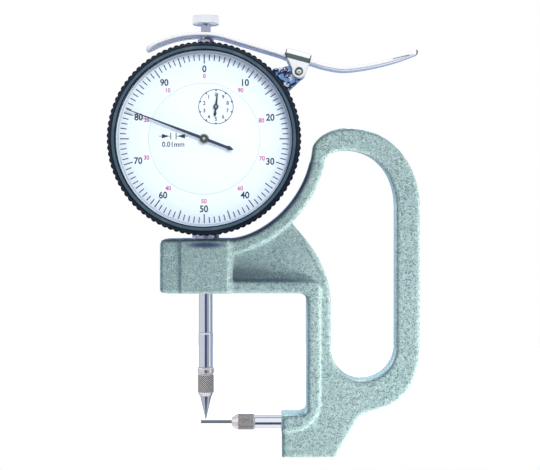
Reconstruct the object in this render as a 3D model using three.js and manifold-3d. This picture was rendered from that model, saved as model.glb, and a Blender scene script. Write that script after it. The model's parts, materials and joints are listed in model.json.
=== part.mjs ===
// Tube wall thickness gauge: a dial gauge clamped in a cast frame with a loop handle and a lifting lever.
// Millimetres. X points right, Y points back, Z points up. The dial faces -Y.
import * as THREE from 'three';
import { mergeVertices } from 'three/addons/utils/BufferGeometryUtils.js';
import Module from 'manifold-3d';

const wasm = await Module();
wasm.setup();

// General fits
const cutOverrun = 1.5; // how far a cutter runs past the face it opens
const fitGap = 0.1; // radial gap of a piece in its bore
const seatGap = 0.05; // gap of a piece resting face to face on its seat
const wideGap = 0.3; // gap round pieces that stay clear of each other
const leastEdge = 0.02; // shorter edges are left out of an outline

// Main places
const throatDepth = 30; // spindle axis to the throat wall
const dialHeight = 93.6; // dial axis above the foot
const travel = 10.2; // full lift of the spindle
const contactGap = 0.3; // contact tip above the anvil pin at rest

// Frame casting: clamp block
const blockLeft = 13.25;
const blockRight = 7;
const blockClearance = 1.2; // bezel to the block's top
const blockHeight = 15.7;
const blockThickness = 12.4;
const blockCorner = 1.2;
const bossLeft = 7.3;
const bossRight = 4.9;
const bossThickness = 13.2;

// Frame casting: body, ribs, throat and arm
const bodyThickness = 9.2;
const bodyEdge = 1.3;
const ribThickness = 11.6;
const ribEdge = 0.5;
const ribWidth = 3.95;
const saddleClearance = 3.2; // bezel to the saddle
const saddleShiftX = 0.5;
const saddleShiftZ = 0.8;
const barHeight = 3.7;
const throatFillet = 2.2;
const throatRibWidth = 3.9;
const throatRibBend = 3;
const armLength = 7.44;
const armTop = 12.8;
const armRibHeight = 5;
const armRibBend = 9;
const footLength = 15.64;
const pocketDepth = 1.5;
const rampTopDrop = 3.6; // below the dial axis
const rampLength = 20;

// Frame casting: loop handle
const handleDepth = 33.2; // throat wall to the outer face of the grip
const handleRise = 3.5; // handle's top above the dial axis
const handleTopX = 42;
const gripWidth = 7.1;
const gripBottom = 33;
const crownHeight = 23.6;
const webWall = 7; // throat wall to the finger loop
const loopBottom = 22.7;
const loopBottomReach = 9.1; // from the loop's left side
const crownWall = 6.6;
const loopTopX = 41.4;
const webDrop = 3.8; // web's top below the block
const loopBendShare = 0.46818; // of the web's height, where the loop starts to bend
const loopCorner = 1.2;

// Points of the handle curves, as shares of the box that each curve spans
const heelShares = [0.228, 0.3];
const heelBlendShares = [0.296, 0.391, 0.384, 0.406, 0.532, 0.436];
const heelRoundShares = [0.812, 0.494, 1, 0.682];
const crownRightShares = [1, 0.56, 0.59, 1];
const crownLeftShares = [0.609, 1, 0.12, 0.625];
const loopLowerLeftShares = [0, 0.49, 0.363, 0];
const loopLowerRightShares = [0.59, 0, 1, 0.46];
const loopUpperRightShares = [1, 0.576, 0.62, 1];
const loopUpperLeftShares = [0.48, 1, 0.055, 0.73];
const webEdgeShares = [0.514, 0.269, 1, 0.559];

// Anvil
const anvilHeight = 9.95;
const anvilRodRadius = 1.88;
const anvilRodBare = 8.06;
const anvilRodSunk = 10;
const chuckRadius = 2.35;
const chuckLength = 6.8;
const chuckNose = 1.9;
const chuckNoseRadius = 1.3;
const anvilPinRadius = 0.5;
const anvilPinPast = 1.45; // pin length beyond the spindle axis
const anvilPinSunk = 4;

// Set screws in the frame
const setScrewRadius = 1.5;
const setScrewLength = 2.2;
const hexSocketRadius = 0.75;
const hexSocketDepth = 1.1;
const stemScrewRise = 8; // above the block's bottom

// Dial case
const caseRadius = 24.9;
const caseWall = 2.2;
const caseBack = 7;
const caseFront = 8.4;
const partitionThickness = 1.4;
const dialBossInset = 0.8; // inside the dial ring
const dialBossHeight = 0.5;
const snapGrooveDepth = 0.4;
const snapGrooveWidth = 0.8;
const snapGroovePlace = 6.1; // in front of the spindle axis
const coverThickness = 1.6;
const coverScrewHead = 1.15;
const coverScrewHeadHeight = 0.9;
const coverScrewShank = 0.6;
const coverScrewLength = 4;

// Stem and upper bush
const stemRadius = 4;
const stemProud = 1; // inside the case's wall
const stemSeat = 1.3; // block floor under the stem
const bushRadius = 2.37;
const bushNeck = 1.9;
const bushSunk = 3;
const bushProud = 5.1;

// Bezel, crystal and dial
const bezelPlay = 0.3; // over the case
const bezelWall = 3;
const bezelRear = 4;
const bezelFront = 14.4;
const bezelShoulderWall = 2.3;
const bezelFaceWall = 1.7;
const bezelFaceSlope = 1.4;
const scallopDepth = 0.45;
const scallopRear = 4.6;
const scallopFront = 11.6;
const dialSeatDepth = 0.5;
const dialThickness = 0.6;
const dialRingWidth = 9;
const crystalThickness = 1.2;
const crystalSeatDepth = 1.1;
const crystalCover = 0.9; // bezel lip in front of the crystal
const snapRingThickness = 0.5;
const snapRingDepth = 0.3;

// Spindle and contact
const spindleRadius = 2;
const spindleShoulder = 9; // above the dial axis
const liftRodRadius = 1;
const extensionRadius = 2.1;
const extensionLength = 10.2;
const nutRadius = 2.45;
const nutLength = 1.9;
const nutChamfer = 0.3;
const holderRadius = 2.4;
const holderLength = 5.2;
const holderShoulder = 0.9;
const collarLength = 1.35;
const collarRadius = 1.85;
const tipRadius = 1.6;
const tipLength = 6.9;
const tipEndRadius = 0.15;
const tipShankRadius = 0.8;
const tipShankLength = 4;

// Lifting knob
const neckRadius = 1.45;
const neckLength = 2.25;
const knobRadius = 3.95;
const knobHeight = 2.8;
const knobChamfer = 0.35;
const knurlDepth = 0.18;
const knobTopWall = 0.8;

// Rack and gears
const rackPitch = 0.625;
const rackDepth = 0.42;
const rackInset = 0.2; // pitch line inside the spindle surface
const gearModule = 0.18;
const arborRadius = 0.5;
const driveArborRadius = 0.6;
const gearThickness = 0.6;
const gearHubRadius = 1.6;
const gearWindowInner = 2.4;
const pinionLength = 2;
const rackPinionLength = 2.6;
const toothAddendumShare = 0.85; // of the module
const toothDedendumShare = 1.25;
const gearRimShare = 0.8;
const spokeShare = 0.16;
const toothGapShare = 0.5; // of the pitch, from a tooth's middle to the gap beside it
const leafRootShare = 0.28; // half the width of a pinion leaf at its root
const leafTipShare = 0.1;
const rackFlankShare = 0.167; // of the rack pitch
const rackLandShare = 0.2;

// Movement plates
const pillarRadius = 1.25;
const pillarLength = 3.5;
const pillarCircle = 16.5;
const bridgeThickness = 0.8;
const bridgeRadius = 18.4;
const bridgeWindowInner = 12.2;
const bridgeWindowOuter = 14.4;
const bridgeScrewHead = 1.35;
const bridgeScrewHeadHeight = 0.7;
const bridgeScrewShank = 0.65;
const bridgeScrewLength = 2.6;
const jewelRadius = 1.2;
const jewelThickness = 0.7;

// Guide, springs
const guidePinDrop = 16.7; // below the case's inner wall
const guidePinRadius = 0.6;
const guidePinReach = 9.2;
const railInner = 7.2;
const railOuter = 9.7;
const railDepth = 4.6;
const railWall = 0.9;
const railFoot = 1.8;
const springPlace = 5;
const springRadius = 1.1;
const springWire = 0.15;
const springDrop = 13.2; // post below the dial axis
const springPostRadius = 0.7;
const springPostLength = 4.2;
const hairspringInner = 1;
const hairspringOuter = 4.4;
const hairspringWire = 0.16;
const hairspringHeight = 0.4;

// Pointers
const pointerThickness = 0.25;
const pointerHubRadius = 1.5;
const pointerHubHeight = 1;
const pointerClearance = 1.1; // tip to the bezel's bore
const pointerTail = 9.1;
const pointerBaseWidth = 0.95;
const pointerTipWidth = 0.2;
const pointerBlob = 1.3;
const pointerHeight = 1.15; // hub above the dial
const counterLength = 3.9;
const counterTail = 3;
const counterWidth = 0.6;
const counterTipWidth = 0.25;
const counterBlob = 0.9;
const counterHubRadius = 0.85;
const counterHubHeight = 0.6;
const counterHeight = 0.25;
const leafWaistShare = 0.4; // of the leaf's width, behind the leaf
const waistWidthShare = 0.67; // of the width at the hub

// Lifting lever
const pivotStandOff = 5.9; // pivot pin from the bezel
const leverClearance = 6.85; // lever's top above the case
const leverThickness = 1.4;
const leverWidth = 8;
const leverTail = 16.9;
const leverThumb = 35.1;
const forkHalfWidth = 1.2;
const forkEnd = 1.7;
const saddleSheet = 0.8;
const saddleLeft = 5.3;
const saddleRight = 2.4;
const saddleSlopeDrop = 2.1;
const saddleRound = 2.15;
const pivotPinRadius = 1;
const pivotHeadRadius = 1.35;
const pivotHeadHeight = 0.35;
const lugLower = 2.7;
const lugUpper = 5;
const lugUpperTip = 3.4;
const lugTaper = 5.3;
const lugRound = 2;
const lugFlange = 1.3;
const lugFlangeReach = 5.9;
const lugFlangeBack = 6.4;
const lugScrewPlace = 5.1;
const lugScrewSpread = 3.5;
const lugScrewShank = 0.6;
const lugScrewHead = 1.15;
const lugScrewHeadHeight = 0.8;
const lugScrewLength = 3.2;

// Lever centre line, as shares: along the tail, from the spindle to the pivot, and along the thumb end
const tailShares = [[-1, 0.63], [-0.8, 0.785], [-0.54, 0.915], [-0.28, 0.985], [0, 1]];
const spanShares = [[0.15, 0.957], [0.365, 0.797], [0.58, 0.635], [0.79, 0.478], [0.9, 0.38]];
const thumbShares = [
  [0.1, 0.262], [0.214, 0.155], [0.367, 0.075], [0.52, 0.117], [0.67, 0.208], [0.83, 0.345], [1, 0.54],
];

// Counts and angles
const smallFacets = 8;
const midFacets = 20;
const largeFacets = 44;
const curveSteps = 5;
const windowSteps = 2;
const rackPinionTeeth = 16;
const gearTeeth = 100;
const centrePinionTeeth = 10;
const scallops = 96;
const scallopSamples = 3;
const knobRidges = 30;
const hexSides = 6;
const spokes = 4;
const rackGapsAbove = 3;
const lineSamples = 200;
const springTurns = 11;
const springStepsPerTurn = 8;
const hairspringTurns = 4;
const hairspringSteps = 44;
const pointerAngle = THREE.MathUtils.degToRad(290.8);
const counterAngle = THREE.MathUtils.degToRad(7);
const pivotAngle = THREE.MathUtils.degToRad(36);
const leverSlope = THREE.MathUtils.degToRad(-15);
const loopArcTopAngle = THREE.MathUtils.degToRad(-13.7);
const loopArcEndAngle = THREE.MathUtils.degToRad(-43.6);
const loopCornerAngle = THREE.MathUtils.degToRad(-45.6);
const saddleTopAngle = THREE.MathUtils.degToRad(-5.3);
const saddleBlendAngle = THREE.MathUtils.degToRad(-62);
const coverScrewAngles = [75, 165, 255, 345].map(THREE.MathUtils.degToRad);
const pillarAngles = [-58, 5, 150].map(THREE.MathUtils.degToRad);
const bridgeWindowAngles = [189, 261].map(THREE.MathUtils.degToRad);
const quarterTurn = Math.PI / 2;
const fullTurn = Math.PI * 2;

// Places worked out from the sizes
const bezelBore = caseRadius + bezelPlay;
const bezelRadius = bezelBore + bezelWall;
const bezelShoulder = bezelBore + bezelShoulderWall;
const bezelFaceRadius = bezelBore + bezelFaceWall;
const blockTop = dialHeight - bezelRadius - blockClearance;
const blockBottom = blockTop - blockHeight;
const stemScrewHeight = blockBottom + stemScrewRise;
const stemTop = dialHeight - caseRadius + caseWall + stemProud;
const saddleRadius = bezelRadius + saddleClearance;
const rampTop = dialHeight - rampTopDrop;
const rampBottom = rampTop - rampLength;
const handleTop = dialHeight + handleRise;
const gripTop = handleTop - crownHeight;
const loopTop = handleTop - crownWall;
const webTop = blockBottom - webDrop;
const loopBend = loopBottom + (webTop - loopBottom) * loopBendShare;
const handleReach = throatDepth + handleDepth;
const loopLeft = throatDepth + webWall;
const loopBottomX = loopLeft + loopBottomReach;
const dialRingInner = bezelBore - dialRingWidth;
const dialBossRadius = dialRingInner - dialBossInset;
const guidePinHeight = caseRadius - caseWall - guidePinDrop; // above the dial axis
const saddleX = saddleShiftX;
const saddleZ = dialHeight + saddleShiftZ;
const loopRadius = saddleRadius + ribWidth;
const armLeft = throatDepth - armLength;
const footRight = armLeft + footLength;
const footCentre = armLeft + footLength / 2;
const gripInner = handleReach - gripWidth;
const partitionRear = partitionThickness - caseFront;
const bossFront = -caseFront - dialBossHeight;
const dialRear = bossFront - fitGap;
const dialFront = dialRear - dialThickness;
const crystalFront = crystalCover - bezelFront;
const crystalRear = crystalFront + crystalThickness;
const bridgeFront = partitionRear + pillarLength + seatGap * 2;
const bridgeRear = bridgeFront + bridgeThickness;
const gearPlace = (partitionRear + bridgeFront) / 2;
const rackPinionRadius = (rackPinionTeeth * rackPitch) / fullTurn;
const driveX = -(spindleRadius - rackInset + rackPinionRadius);
const gearDistance = (gearModule * (gearTeeth + centrePinionTeeth)) / 2;
const driveZ = -Math.sqrt(gearDistance ** 2 - driveX ** 2);
const takeupX = -driveX;
const takeupZ = -driveZ;
const gearAngle = Math.atan2(driveZ, driveX);
const pointerLength = bezelBore - pointerClearance;
const pivotRadius = bezelRadius + pivotStandOff;
const lugShoulder = pivotRadius - lugTaper;
const leverSeat = dialHeight + caseRadius + leverClearance;
const pivotX = pivotRadius * Math.cos(pivotAngle);
const pivotZ = pivotRadius * Math.sin(pivotAngle);
const pivotHeight = dialHeight + pivotZ;
const leverRise = leverSeat - leverThickness / 2 - pivotHeight;
const neckBottom = leverSeat + seatGap;
const tipEnd = anvilHeight + anvilPinRadius + contactGap;
const collarBottom = tipEnd + tipLength + seatGap;
const collarTop = collarBottom + collarLength;
const holderTop = collarTop + holderLength;
const nutBottom = holderTop + seatGap;
const extensionBottom = nutBottom + nutLength + seatGap;
const spindleBottom = extensionBottom + extensionLength + seatGap;
const liftRodTop = neckBottom + neckLength + knobHeight - knobTopWall;
const cheekHalf = leverWidth / 2 + fitGap;

// Colours and finishes
const finish = (color, roughness, metalness) => {
  return new THREE.MeshStandardMaterial({ color, roughness, metalness });
};
const casting = finish(0x93b3b6, 0.7, 0.1);
const chrome = finish(0xdfe6ee, 0.12, 1);
const steel = finish(0xb4bcc6, 0.28, 1);
const darkSteel = finish(0x5c6670, 0.35, 1);
const brass = finish(0xc8a24c, 0.3, 1);
const blackPlastic = finish(0x16202c, 0.4, 0);
const dialWhite = finish(0xf2f8fb, 0.5, 0);
const pointerBlack = finish(0x12141f, 0.4, 0.2);
const clear = new THREE.MeshStandardMaterial({
  color: 0xffffff,
  roughness: 0.02,
  transparent: true,
  opacity: 0.25,
});
const ruby = finish(0xa81f3c, 0.1, 0);

// A closed geometry as a solid that can be joined and cut.
function solid(geometry) {
  const bare = geometry.index ? geometry.toNonIndexed() : geometry.clone();
  bare.deleteAttribute('normal');
  bare.deleteAttribute('uv');
  const merged = mergeVertices(bare);
  const index = merged.index.array;
  const corners = [];
  for (let i = 0; i < index.length; i += 3) {
    const [a, b, c] = [index[i], index[i + 1], index[i + 2]];
    if (a !== b && b !== c && c !== a) corners.push(a, b, c);
  }
  const vertProperties = merged.attributes.position.array;
  const triVerts = new Uint32Array(corners);
  return new wasm.Manifold(new wasm.Mesh({ numProp: 3, vertProperties, triVerts }));
}

// The mesh of a finished solid.
function piece(name, body, material, parent) {
  const { vertProperties, triVerts } = body.getMesh();
  const geometry = new THREE.BufferGeometry();
  geometry.setAttribute('position', new THREE.BufferAttribute(vertProperties, 3));
  geometry.setIndex(new THREE.BufferAttribute(triVerts, 1));
  geometry.computeVertexNormals();
  const mesh = new THREE.Mesh(geometry, material);
  mesh.name = name;
  parent.add(mesh);
  return mesh;
}

// A profile of [radius, distance] pairs turned about the x, y or z axis, then moved to a place.
function turned(axis, profile, facets = midFacets, place = [0, 0, 0]) {
  const points = profile.map(([radius, along]) => new THREE.Vector2(radius, along));
  const geometry = new THREE.LatheGeometry(points, facets);
  if (axis === 'x') geometry.rotateZ(-quarterTurn);
  if (axis === 'z') geometry.rotateX(quarterTurn);
  return solid(geometry.translate(...place));
}

const rodProfile = (radius, from, to) => [[0, from], [radius, from], [radius, to], [0, to]];
const ringProfile = (inner, outer, from, to) => [
  [inner, from], [outer, from], [outer, to], [inner, to], [inner, from],
];

function rod(axis, radius, from, to, facets, place) {
  return turned(axis, rodProfile(radius, from, to), facets, place);
}

function ring(axis, inner, outer, from, to, facets, place) {
  return turned(axis, ringProfile(inner, outer, from, to), facets, place);
}

// The points of an outline without those that nearly coincide.
function cleanPoints(points) {
  return points.filter((point, i) => {
    const before = points[(i + points.length - 1) % points.length];
    return point.distanceTo(before) > leastEdge;
  });
}

// An outline in the XZ plane given thickness from the front face to the back face, with broken edges.
function plate(shape, front, back, edge = 0, steps = curveSteps) {
  const found = shape.extractPoints(steps);
  const clean = new THREE.Shape(cleanPoints(found.shape));
  clean.holes = found.holes.map((points) => new THREE.Path(cleanPoints(points)));
  const geometry = new THREE.ExtrudeGeometry(clean, {
    depth: back - front - edge * 2,
    bevelEnabled: edge > 0,
    bevelThickness: edge,
    bevelSize: edge,
    bevelOffset: -edge,
    bevelSegments: edge > ribEdge ? 2 : 1,
  });
  geometry.rotateX(quarterTurn);
  geometry.translate(0, back - edge, 0);
  return solid(geometry);
}

function outline(points) {
  return new THREE.Shape(points.map(([x, z]) => new THREE.Vector2(x, z)));
}

// A box between two corners.
function block(low, high) {
  const size = high.map((value, i) => value - low[i]);
  const centre = high.map((value, i) => (value + low[i]) / 2);
  return solid(new THREE.BoxGeometry(...size).translate(...centre));
}

const mix = (from, to, share) => from + (to - from) * share;

// A Bezier curve to a point, with its two controls as shares of the box between two corners.
function curveInBox(path, low, high, shares, end) {
  const [ax, az, bx, bz] = shares;
  path.bezierCurveTo(
    mix(low[0], high[0], ax), mix(low[1], high[1], az),
    mix(low[0], high[0], bx), mix(low[1], high[1], bz),
    end[0], end[1],
  );
}

const onSaddle = (radius, angle) => [saddleX + radius * Math.cos(angle), saddleZ + radius * Math.sin(angle)];

// The end of the saddle's arc, and its easing into the flat top of the clamp block.
function saddleToBlock(shape, from) {
  const start = onSaddle(saddleRadius, saddleBlendAngle);
  const reach = (start[1] - blockTop) * Math.tan(-saddleBlendAngle);
  shape.absarc(saddleX, saddleZ, saddleRadius, from, saddleBlendAngle, true);
  shape.quadraticCurveTo(start[0] - reach, blockTop, start[0] - reach * 2, blockTop);
}

// The outside of the casting's body, anticlockwise from the middle of the clamp block.
function castingOutline() {
  const shape = new THREE.Shape();
  const heelLow = [footRight, 0];
  const heelHigh = [handleReach, gripBottom];
  const heel = [mix(footRight, handleReach, heelShares[0]), mix(0, gripBottom, heelShares[1])];
  const [ax, az, bx, bz, cx, cz] = heelBlendShares;
  const join = [mix(footRight, handleReach, cx), mix(0, gripBottom, cz)];
  const saddleEnd = onSaddle(saddleRadius, saddleTopAngle);
  shape.moveTo(0, blockBottom);
  shape.lineTo(throatDepth - throatFillet, blockBottom);
  shape.absarc(throatDepth - throatFillet, blockBottom - throatFillet, throatFillet, quarterTurn, 0, true);
  shape.lineTo(throatDepth, armTop + throatFillet);
  shape.absarc(throatDepth - throatFillet, armTop + throatFillet, throatFillet, 0, -quarterTurn, true);
  shape.lineTo(armLeft, armTop);
  shape.lineTo(armLeft, 0);
  shape.lineTo(footRight, 0);
  shape.lineTo(...heel);
  curveInBox(shape, heelLow, heelHigh, [ax, az, bx, bz], join);
  curveInBox(shape, heelLow, heelHigh, heelRoundShares, heelHigh);
  shape.lineTo(handleReach, gripTop);
  const crown = [handleTopX, handleTop];
  curveInBox(shape, [handleTopX, gripTop], [handleReach, handleTop], crownRightShares, crown);
  curveInBox(shape, saddleEnd, crown, crownLeftShares, saddleEnd);
  saddleToBlock(shape, saddleTopAngle);
  shape.lineTo(0, blockTop);
  return shape;
}

// The finger loop, clockwise down its left side from the arc that follows the dial.
function fingerLoop() {
  const path = new THREE.Path();
  const corner = onSaddle(loopRadius, loopCornerAngle);
  const arcTop = onSaddle(loopRadius, loopArcTopAngle);
  const webStart = [corner[0] + loopCorner * Math.SQRT1_2, corner[1] - loopCorner * Math.SQRT1_2];
  const bottom = [loopBottomX, loopBottom];
  path.moveTo(...arcTop);
  path.absarc(saddleX, saddleZ, loopRadius, loopArcTopAngle, loopArcEndAngle, true);
  path.quadraticCurveTo(...corner, ...webStart);
  curveInBox(path, corner, [loopLeft, webTop], webEdgeShares, [loopLeft, webTop]);
  path.lineTo(loopLeft, loopBend);
  curveInBox(path, [loopLeft, loopBottom], [loopBottomX, loopBend], loopLowerLeftShares, bottom);
  curveInBox(path, bottom, [gripInner, gripBottom], loopLowerRightShares, [gripInner, gripBottom]);
  path.lineTo(gripInner, gripTop);
  curveInBox(path, [loopTopX, gripTop], [gripInner, loopTop], loopUpperRightShares, [loopTopX, loopTop]);
  curveInBox(path, arcTop, [loopTopX, loopTop], loopUpperLeftShares, arcTop);
  return path;
}

// The raised face: clamp block, saddle rib, throat rib and lower arm.
function raisedOutline() {
  const shape = new THREE.Shape();
  const barTop = blockBottom + barHeight;
  const ribRight = throatDepth + throatRibWidth;
  const armRibBottom = armTop - armRibHeight;
  const ribStart = Math.acos((blockRight - saddleX) / loopRadius);
  shape.moveTo(blockCorner - blockLeft, blockBottom);
  shape.lineTo(throatDepth - throatFillet, blockBottom);
  shape.absarc(throatDepth - throatFillet, blockBottom - throatFillet, throatFillet, quarterTurn, 0, true);
  shape.lineTo(throatDepth, armTop + throatFillet);
  shape.absarc(throatDepth - throatFillet, armTop + throatFillet, throatFillet, 0, -quarterTurn, true);
  shape.lineTo(armLeft, armTop);
  shape.lineTo(armLeft, armRibBottom);
  shape.absarc(ribRight - armRibBend, armRibBottom + armRibBend, armRibBend, -quarterTurn, 0, false);
  shape.lineTo(ribRight, barTop - throatRibBend);
  shape.absarc(ribRight - throatRibBend, barTop - throatRibBend, throatRibBend, 0, quarterTurn, false);
  shape.lineTo(blockRight, barTop);
  shape.absarc(saddleX, saddleZ, loopRadius, -ribStart, loopArcTopAngle, false);
  saddleToBlock(shape, loopArcTopAngle);
  const cornerX = blockCorner - blockLeft;
  shape.lineTo(cornerX, blockTop);
  shape.absarc(cornerX, blockTop - blockCorner, blockCorner, quarterTurn, Math.PI, false);
  shape.lineTo(-blockLeft, blockBottom + blockCorner);
  shape.absarc(cornerX, blockBottom + blockCorner, blockCorner, Math.PI, -quarterTurn, false);
  return shape;
}

// The pocket between block, bar and saddle rib. Its floor is deepest at the block and runs out to the right.
function pocketCut(side) {
  const barTop = blockBottom + barHeight;
  const ribRight = throatDepth + throatRibWidth;
  const corner = onSaddle(loopRadius, loopCornerAngle);
  const shape = new THREE.Shape();
  const ribStart = Math.acos((blockRight - saddleX) / loopRadius);
  shape.moveTo(blockRight, barTop);
  shape.lineTo(ribRight, barTop);
  shape.lineTo(...corner);
  shape.absarc(saddleX, saddleZ, loopRadius, loopCornerAngle, -ribStart, true);
  const face = bodyThickness / 2;
  const wedge = outline([
    [blockRight - seatGap, face + cutOverrun], [blockRight - seatGap, face - pocketDepth],
    [ribRight, face], [ribRight, face + cutOverrun],
  ]);
  const slope = new THREE.ExtrudeGeometry(wedge, { depth: saddleRadius, bevelEnabled: false });
  slope.translate(0, 0, blockBottom);
  const prism = plate(shape, -face - cutOverrun, face + cutOverrun);
  const cut = prism.intersect(solid(slope));
  return side > 0 ? cut : cut.mirror([0, 1, 0]);
}

// The wedge that lets the saddle rib run out into the handle.
function rampCut(side) {
  const low = bodyThickness / 2;
  const high = ribThickness / 2;
  const shape = outline([
    [high, rampBottom], [high + cutOverrun, rampBottom], [high + cutOverrun, rampTop + cutOverrun],
    [low, rampTop + cutOverrun], [low, rampTop],
  ]);
  const settings = { depth: handleReach - blockRight, bevelEnabled: false };
  const geometry = new THREE.ExtrudeGeometry(shape, settings);
  geometry.rotateX(quarterTurn);
  geometry.rotateZ(quarterTurn);
  const wedge = solid(geometry.translate(blockRight, 0, 0));
  return side > 0 ? wedge : wedge.mirror([0, 1, 0]);
}

function makeFrame(parent) {
  const outside = castingOutline();
  outside.holes.push(fingerLoop());
  const web = plate(outside, -bodyThickness / 2, bodyThickness / 2, bodyEdge);
  let raised = plate(raisedOutline(), -ribThickness / 2, ribThickness / 2, ribEdge);
  raised = raised.subtract(rampCut(1)).subtract(rampCut(-1));
  const blockShape = outline([
    [-blockLeft, blockBottom], [blockRight, blockBottom], [blockRight, blockTop], [-blockLeft, blockTop],
  ]);
  const bossShape = outline([
    [-bossLeft, blockBottom], [bossRight, blockBottom], [bossRight, blockTop], [-bossLeft, blockTop],
  ]);
  const clampBlock = plate(blockShape, -blockThickness / 2, blockThickness / 2, blockCorner);
  const boss = plate(bossShape, -bossThickness / 2, bossThickness / 2, ribEdge);
  const stemBore = rod('z', stemRadius + fitGap, blockBottom + stemSeat, blockTop + cutOverrun, midFacets);
  const spindleBore = rod('z', spindleRadius + wideGap, blockBottom - cutOverrun, blockTop, midFacets);
  const stemScrewPlace = [0, 0, stemScrewHeight];
  const stemScrewBore = rod('y', setScrewRadius + fitGap, 0, bossThickness, midFacets, stemScrewPlace);
  const rodEnd = armLeft + anvilRodSunk + seatGap;
  const anvilPlace = [0, 0, anvilHeight];
  const anvilBore = rod('x', anvilRodRadius + fitGap, armLeft - cutOverrun, rodEnd, midFacets, anvilPlace);
  const anvilScrewPlace = [armLeft + armRibHeight, 0, anvilHeight];
  const anvilScrewBore = rod('y', setScrewRadius + fitGap, 0, bossThickness, midFacets, anvilScrewPlace);
  let body = web.subtract(pocketCut(1)).subtract(pocketCut(-1)).add(raised).add(clampBlock).add(boss);
  for (const cut of [stemBore, spindleBore, stemScrewBore, anvilBore, anvilScrewBore]) {
    body = body.subtract(cut);
  }
  piece('frame', body, casting, parent);
  makeSetScrew('stem_clamp_screw', stemRadius + fitGap, stemScrewPlace, parent);
  makeSetScrew('anvil_set_screw', anvilRodRadius + fitGap, anvilScrewPlace, parent);
}

// A headless screw with a hexagon socket, driven in from the back.
function makeSetScrew(name, from, place, parent) {
  const to = from + setScrewLength;
  const body = rod('y', setScrewRadius, from, to, smallFacets, place);
  const socket = rod('y', hexSocketRadius, to - hexSocketDepth, to + cutOverrun, hexSides, place);
  piece(name, body.subtract(socket), darkSteel, parent);
}

function makeAnvil(parent) {
  const place = [0, 0, anvilHeight];
  const chuckRight = armLeft - anvilRodBare;
  const chuckLeft = chuckRight - chuckLength;
  const chuckMid = chuckLeft + chuckNose;
  const rodStart = chuckRight + seatGap;
  const anvilRod = rod('x', anvilRodRadius, rodStart, armLeft + anvilRodSunk, midFacets, place);
  piece('anvil_rod', anvilRod, chrome, parent);
  const chuckProfile = [
    [0, chuckLeft], [chuckNoseRadius, chuckLeft], [chuckRadius, chuckMid],
    [chuckRadius, chuckRight - nutChamfer], [chuckRadius - nutChamfer, chuckRight], [0, chuckRight],
  ];
  const pinEnd = chuckLeft + anvilPinSunk;
  const pinHole = rod('x', anvilPinRadius + fitGap, chuckLeft - cutOverrun, pinEnd, smallFacets, place);
  piece('anvil_chuck', turned('x', chuckProfile, midFacets, place).subtract(pinHole), steel, parent);
  const pin = rod('x', anvilPinRadius, -anvilPinPast, pinEnd - fitGap, smallFacets, place);
  piece('anvil_pin', pin, darkSteel, parent);
}

// The dial case, its cover, stem and bush. Heights here are taken from the dial axis.
function makeCase(parent) {
  const inner = caseRadius - caseWall;
  const grooveFront = -snapGroovePlace - snapGrooveWidth / 2;
  const grooveRear = grooveFront + snapGrooveWidth;
  const arborHole = jewelRadius + fitGap;
  const profile = [
    [arborHole, bossFront], [dialBossRadius, bossFront], [dialBossRadius, -caseFront],
    [caseRadius, -caseFront], [caseRadius, grooveFront], [caseRadius - snapGrooveDepth, grooveFront],
    [caseRadius - snapGrooveDepth, grooveRear], [caseRadius, grooveRear], [caseRadius, caseBack],
    [inner, caseBack], [inner, partitionRear], [arborHole, partitionRear], [arborHole, bossFront],
  ];
  let body = turned('y', profile, largeFacets);
  const screwCircle = caseRadius - caseWall / 2;
  const floor = [bossFront - cutOverrun, partitionRear + cutOverrun];
  const cuts = [
    rod('z', stemRadius + fitGap, -caseRadius - cutOverrun, -inner + cutOverrun, midFacets),
    rod('z', bushNeck + fitGap, inner - cutOverrun, caseRadius + cutOverrun, midFacets),
    rod('y', arborRadius + fitGap * 2, ...floor, smallFacets, [takeupX, 0, takeupZ]),
    rod('y', jewelRadius + fitGap, ...floor, smallFacets, [driveX, 0, driveZ]),
  ];
  for (const angle of coverScrewAngles) {
    const place = [screwCircle * Math.cos(angle), 0, screwCircle * Math.sin(angle)];
    const depth = caseBack + coverThickness - coverScrewHeadHeight - coverScrewLength - fitGap;
    cuts.push(rod('y', coverScrewShank + fitGap, depth, caseBack + cutOverrun, smallFacets, place));
  }
  for (const side of [-1, 1]) {
    const place = [0, lugScrewPlace, side * lugScrewSpread];
    const radial = rod('x', lugScrewShank + fitGap, inner, caseRadius + cutOverrun, smallFacets, place);
    cuts.push(radial.rotate([0, -THREE.MathUtils.radToDeg(pivotAngle), 0]));
  }
  for (const cut of cuts) body = body.subtract(cut);
  piece('case', body, chrome, parent);
  makeBackCover(screwCircle, parent);
  const stemBottom = blockBottom + stemSeat + seatGap - dialHeight;
  const stem = ring('z', spindleRadius + fitGap, stemRadius, stemBottom, stemTop - dialHeight, midFacets);
  piece('stem', stem, steel, parent);
  const bushProfile = [
    [liftRodRadius + fitGap, caseRadius - bushSunk], [bushNeck, caseRadius - bushSunk],
    [bushNeck, caseRadius + fitGap], [bushRadius, caseRadius + fitGap], [bushRadius, caseRadius + bushProud],
    [liftRodRadius + fitGap, caseRadius + bushProud], [liftRodRadius + fitGap, caseRadius - bushSunk],
  ];
  piece('upper_bush', turned('z', bushProfile, midFacets), steel, parent);
}

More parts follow.
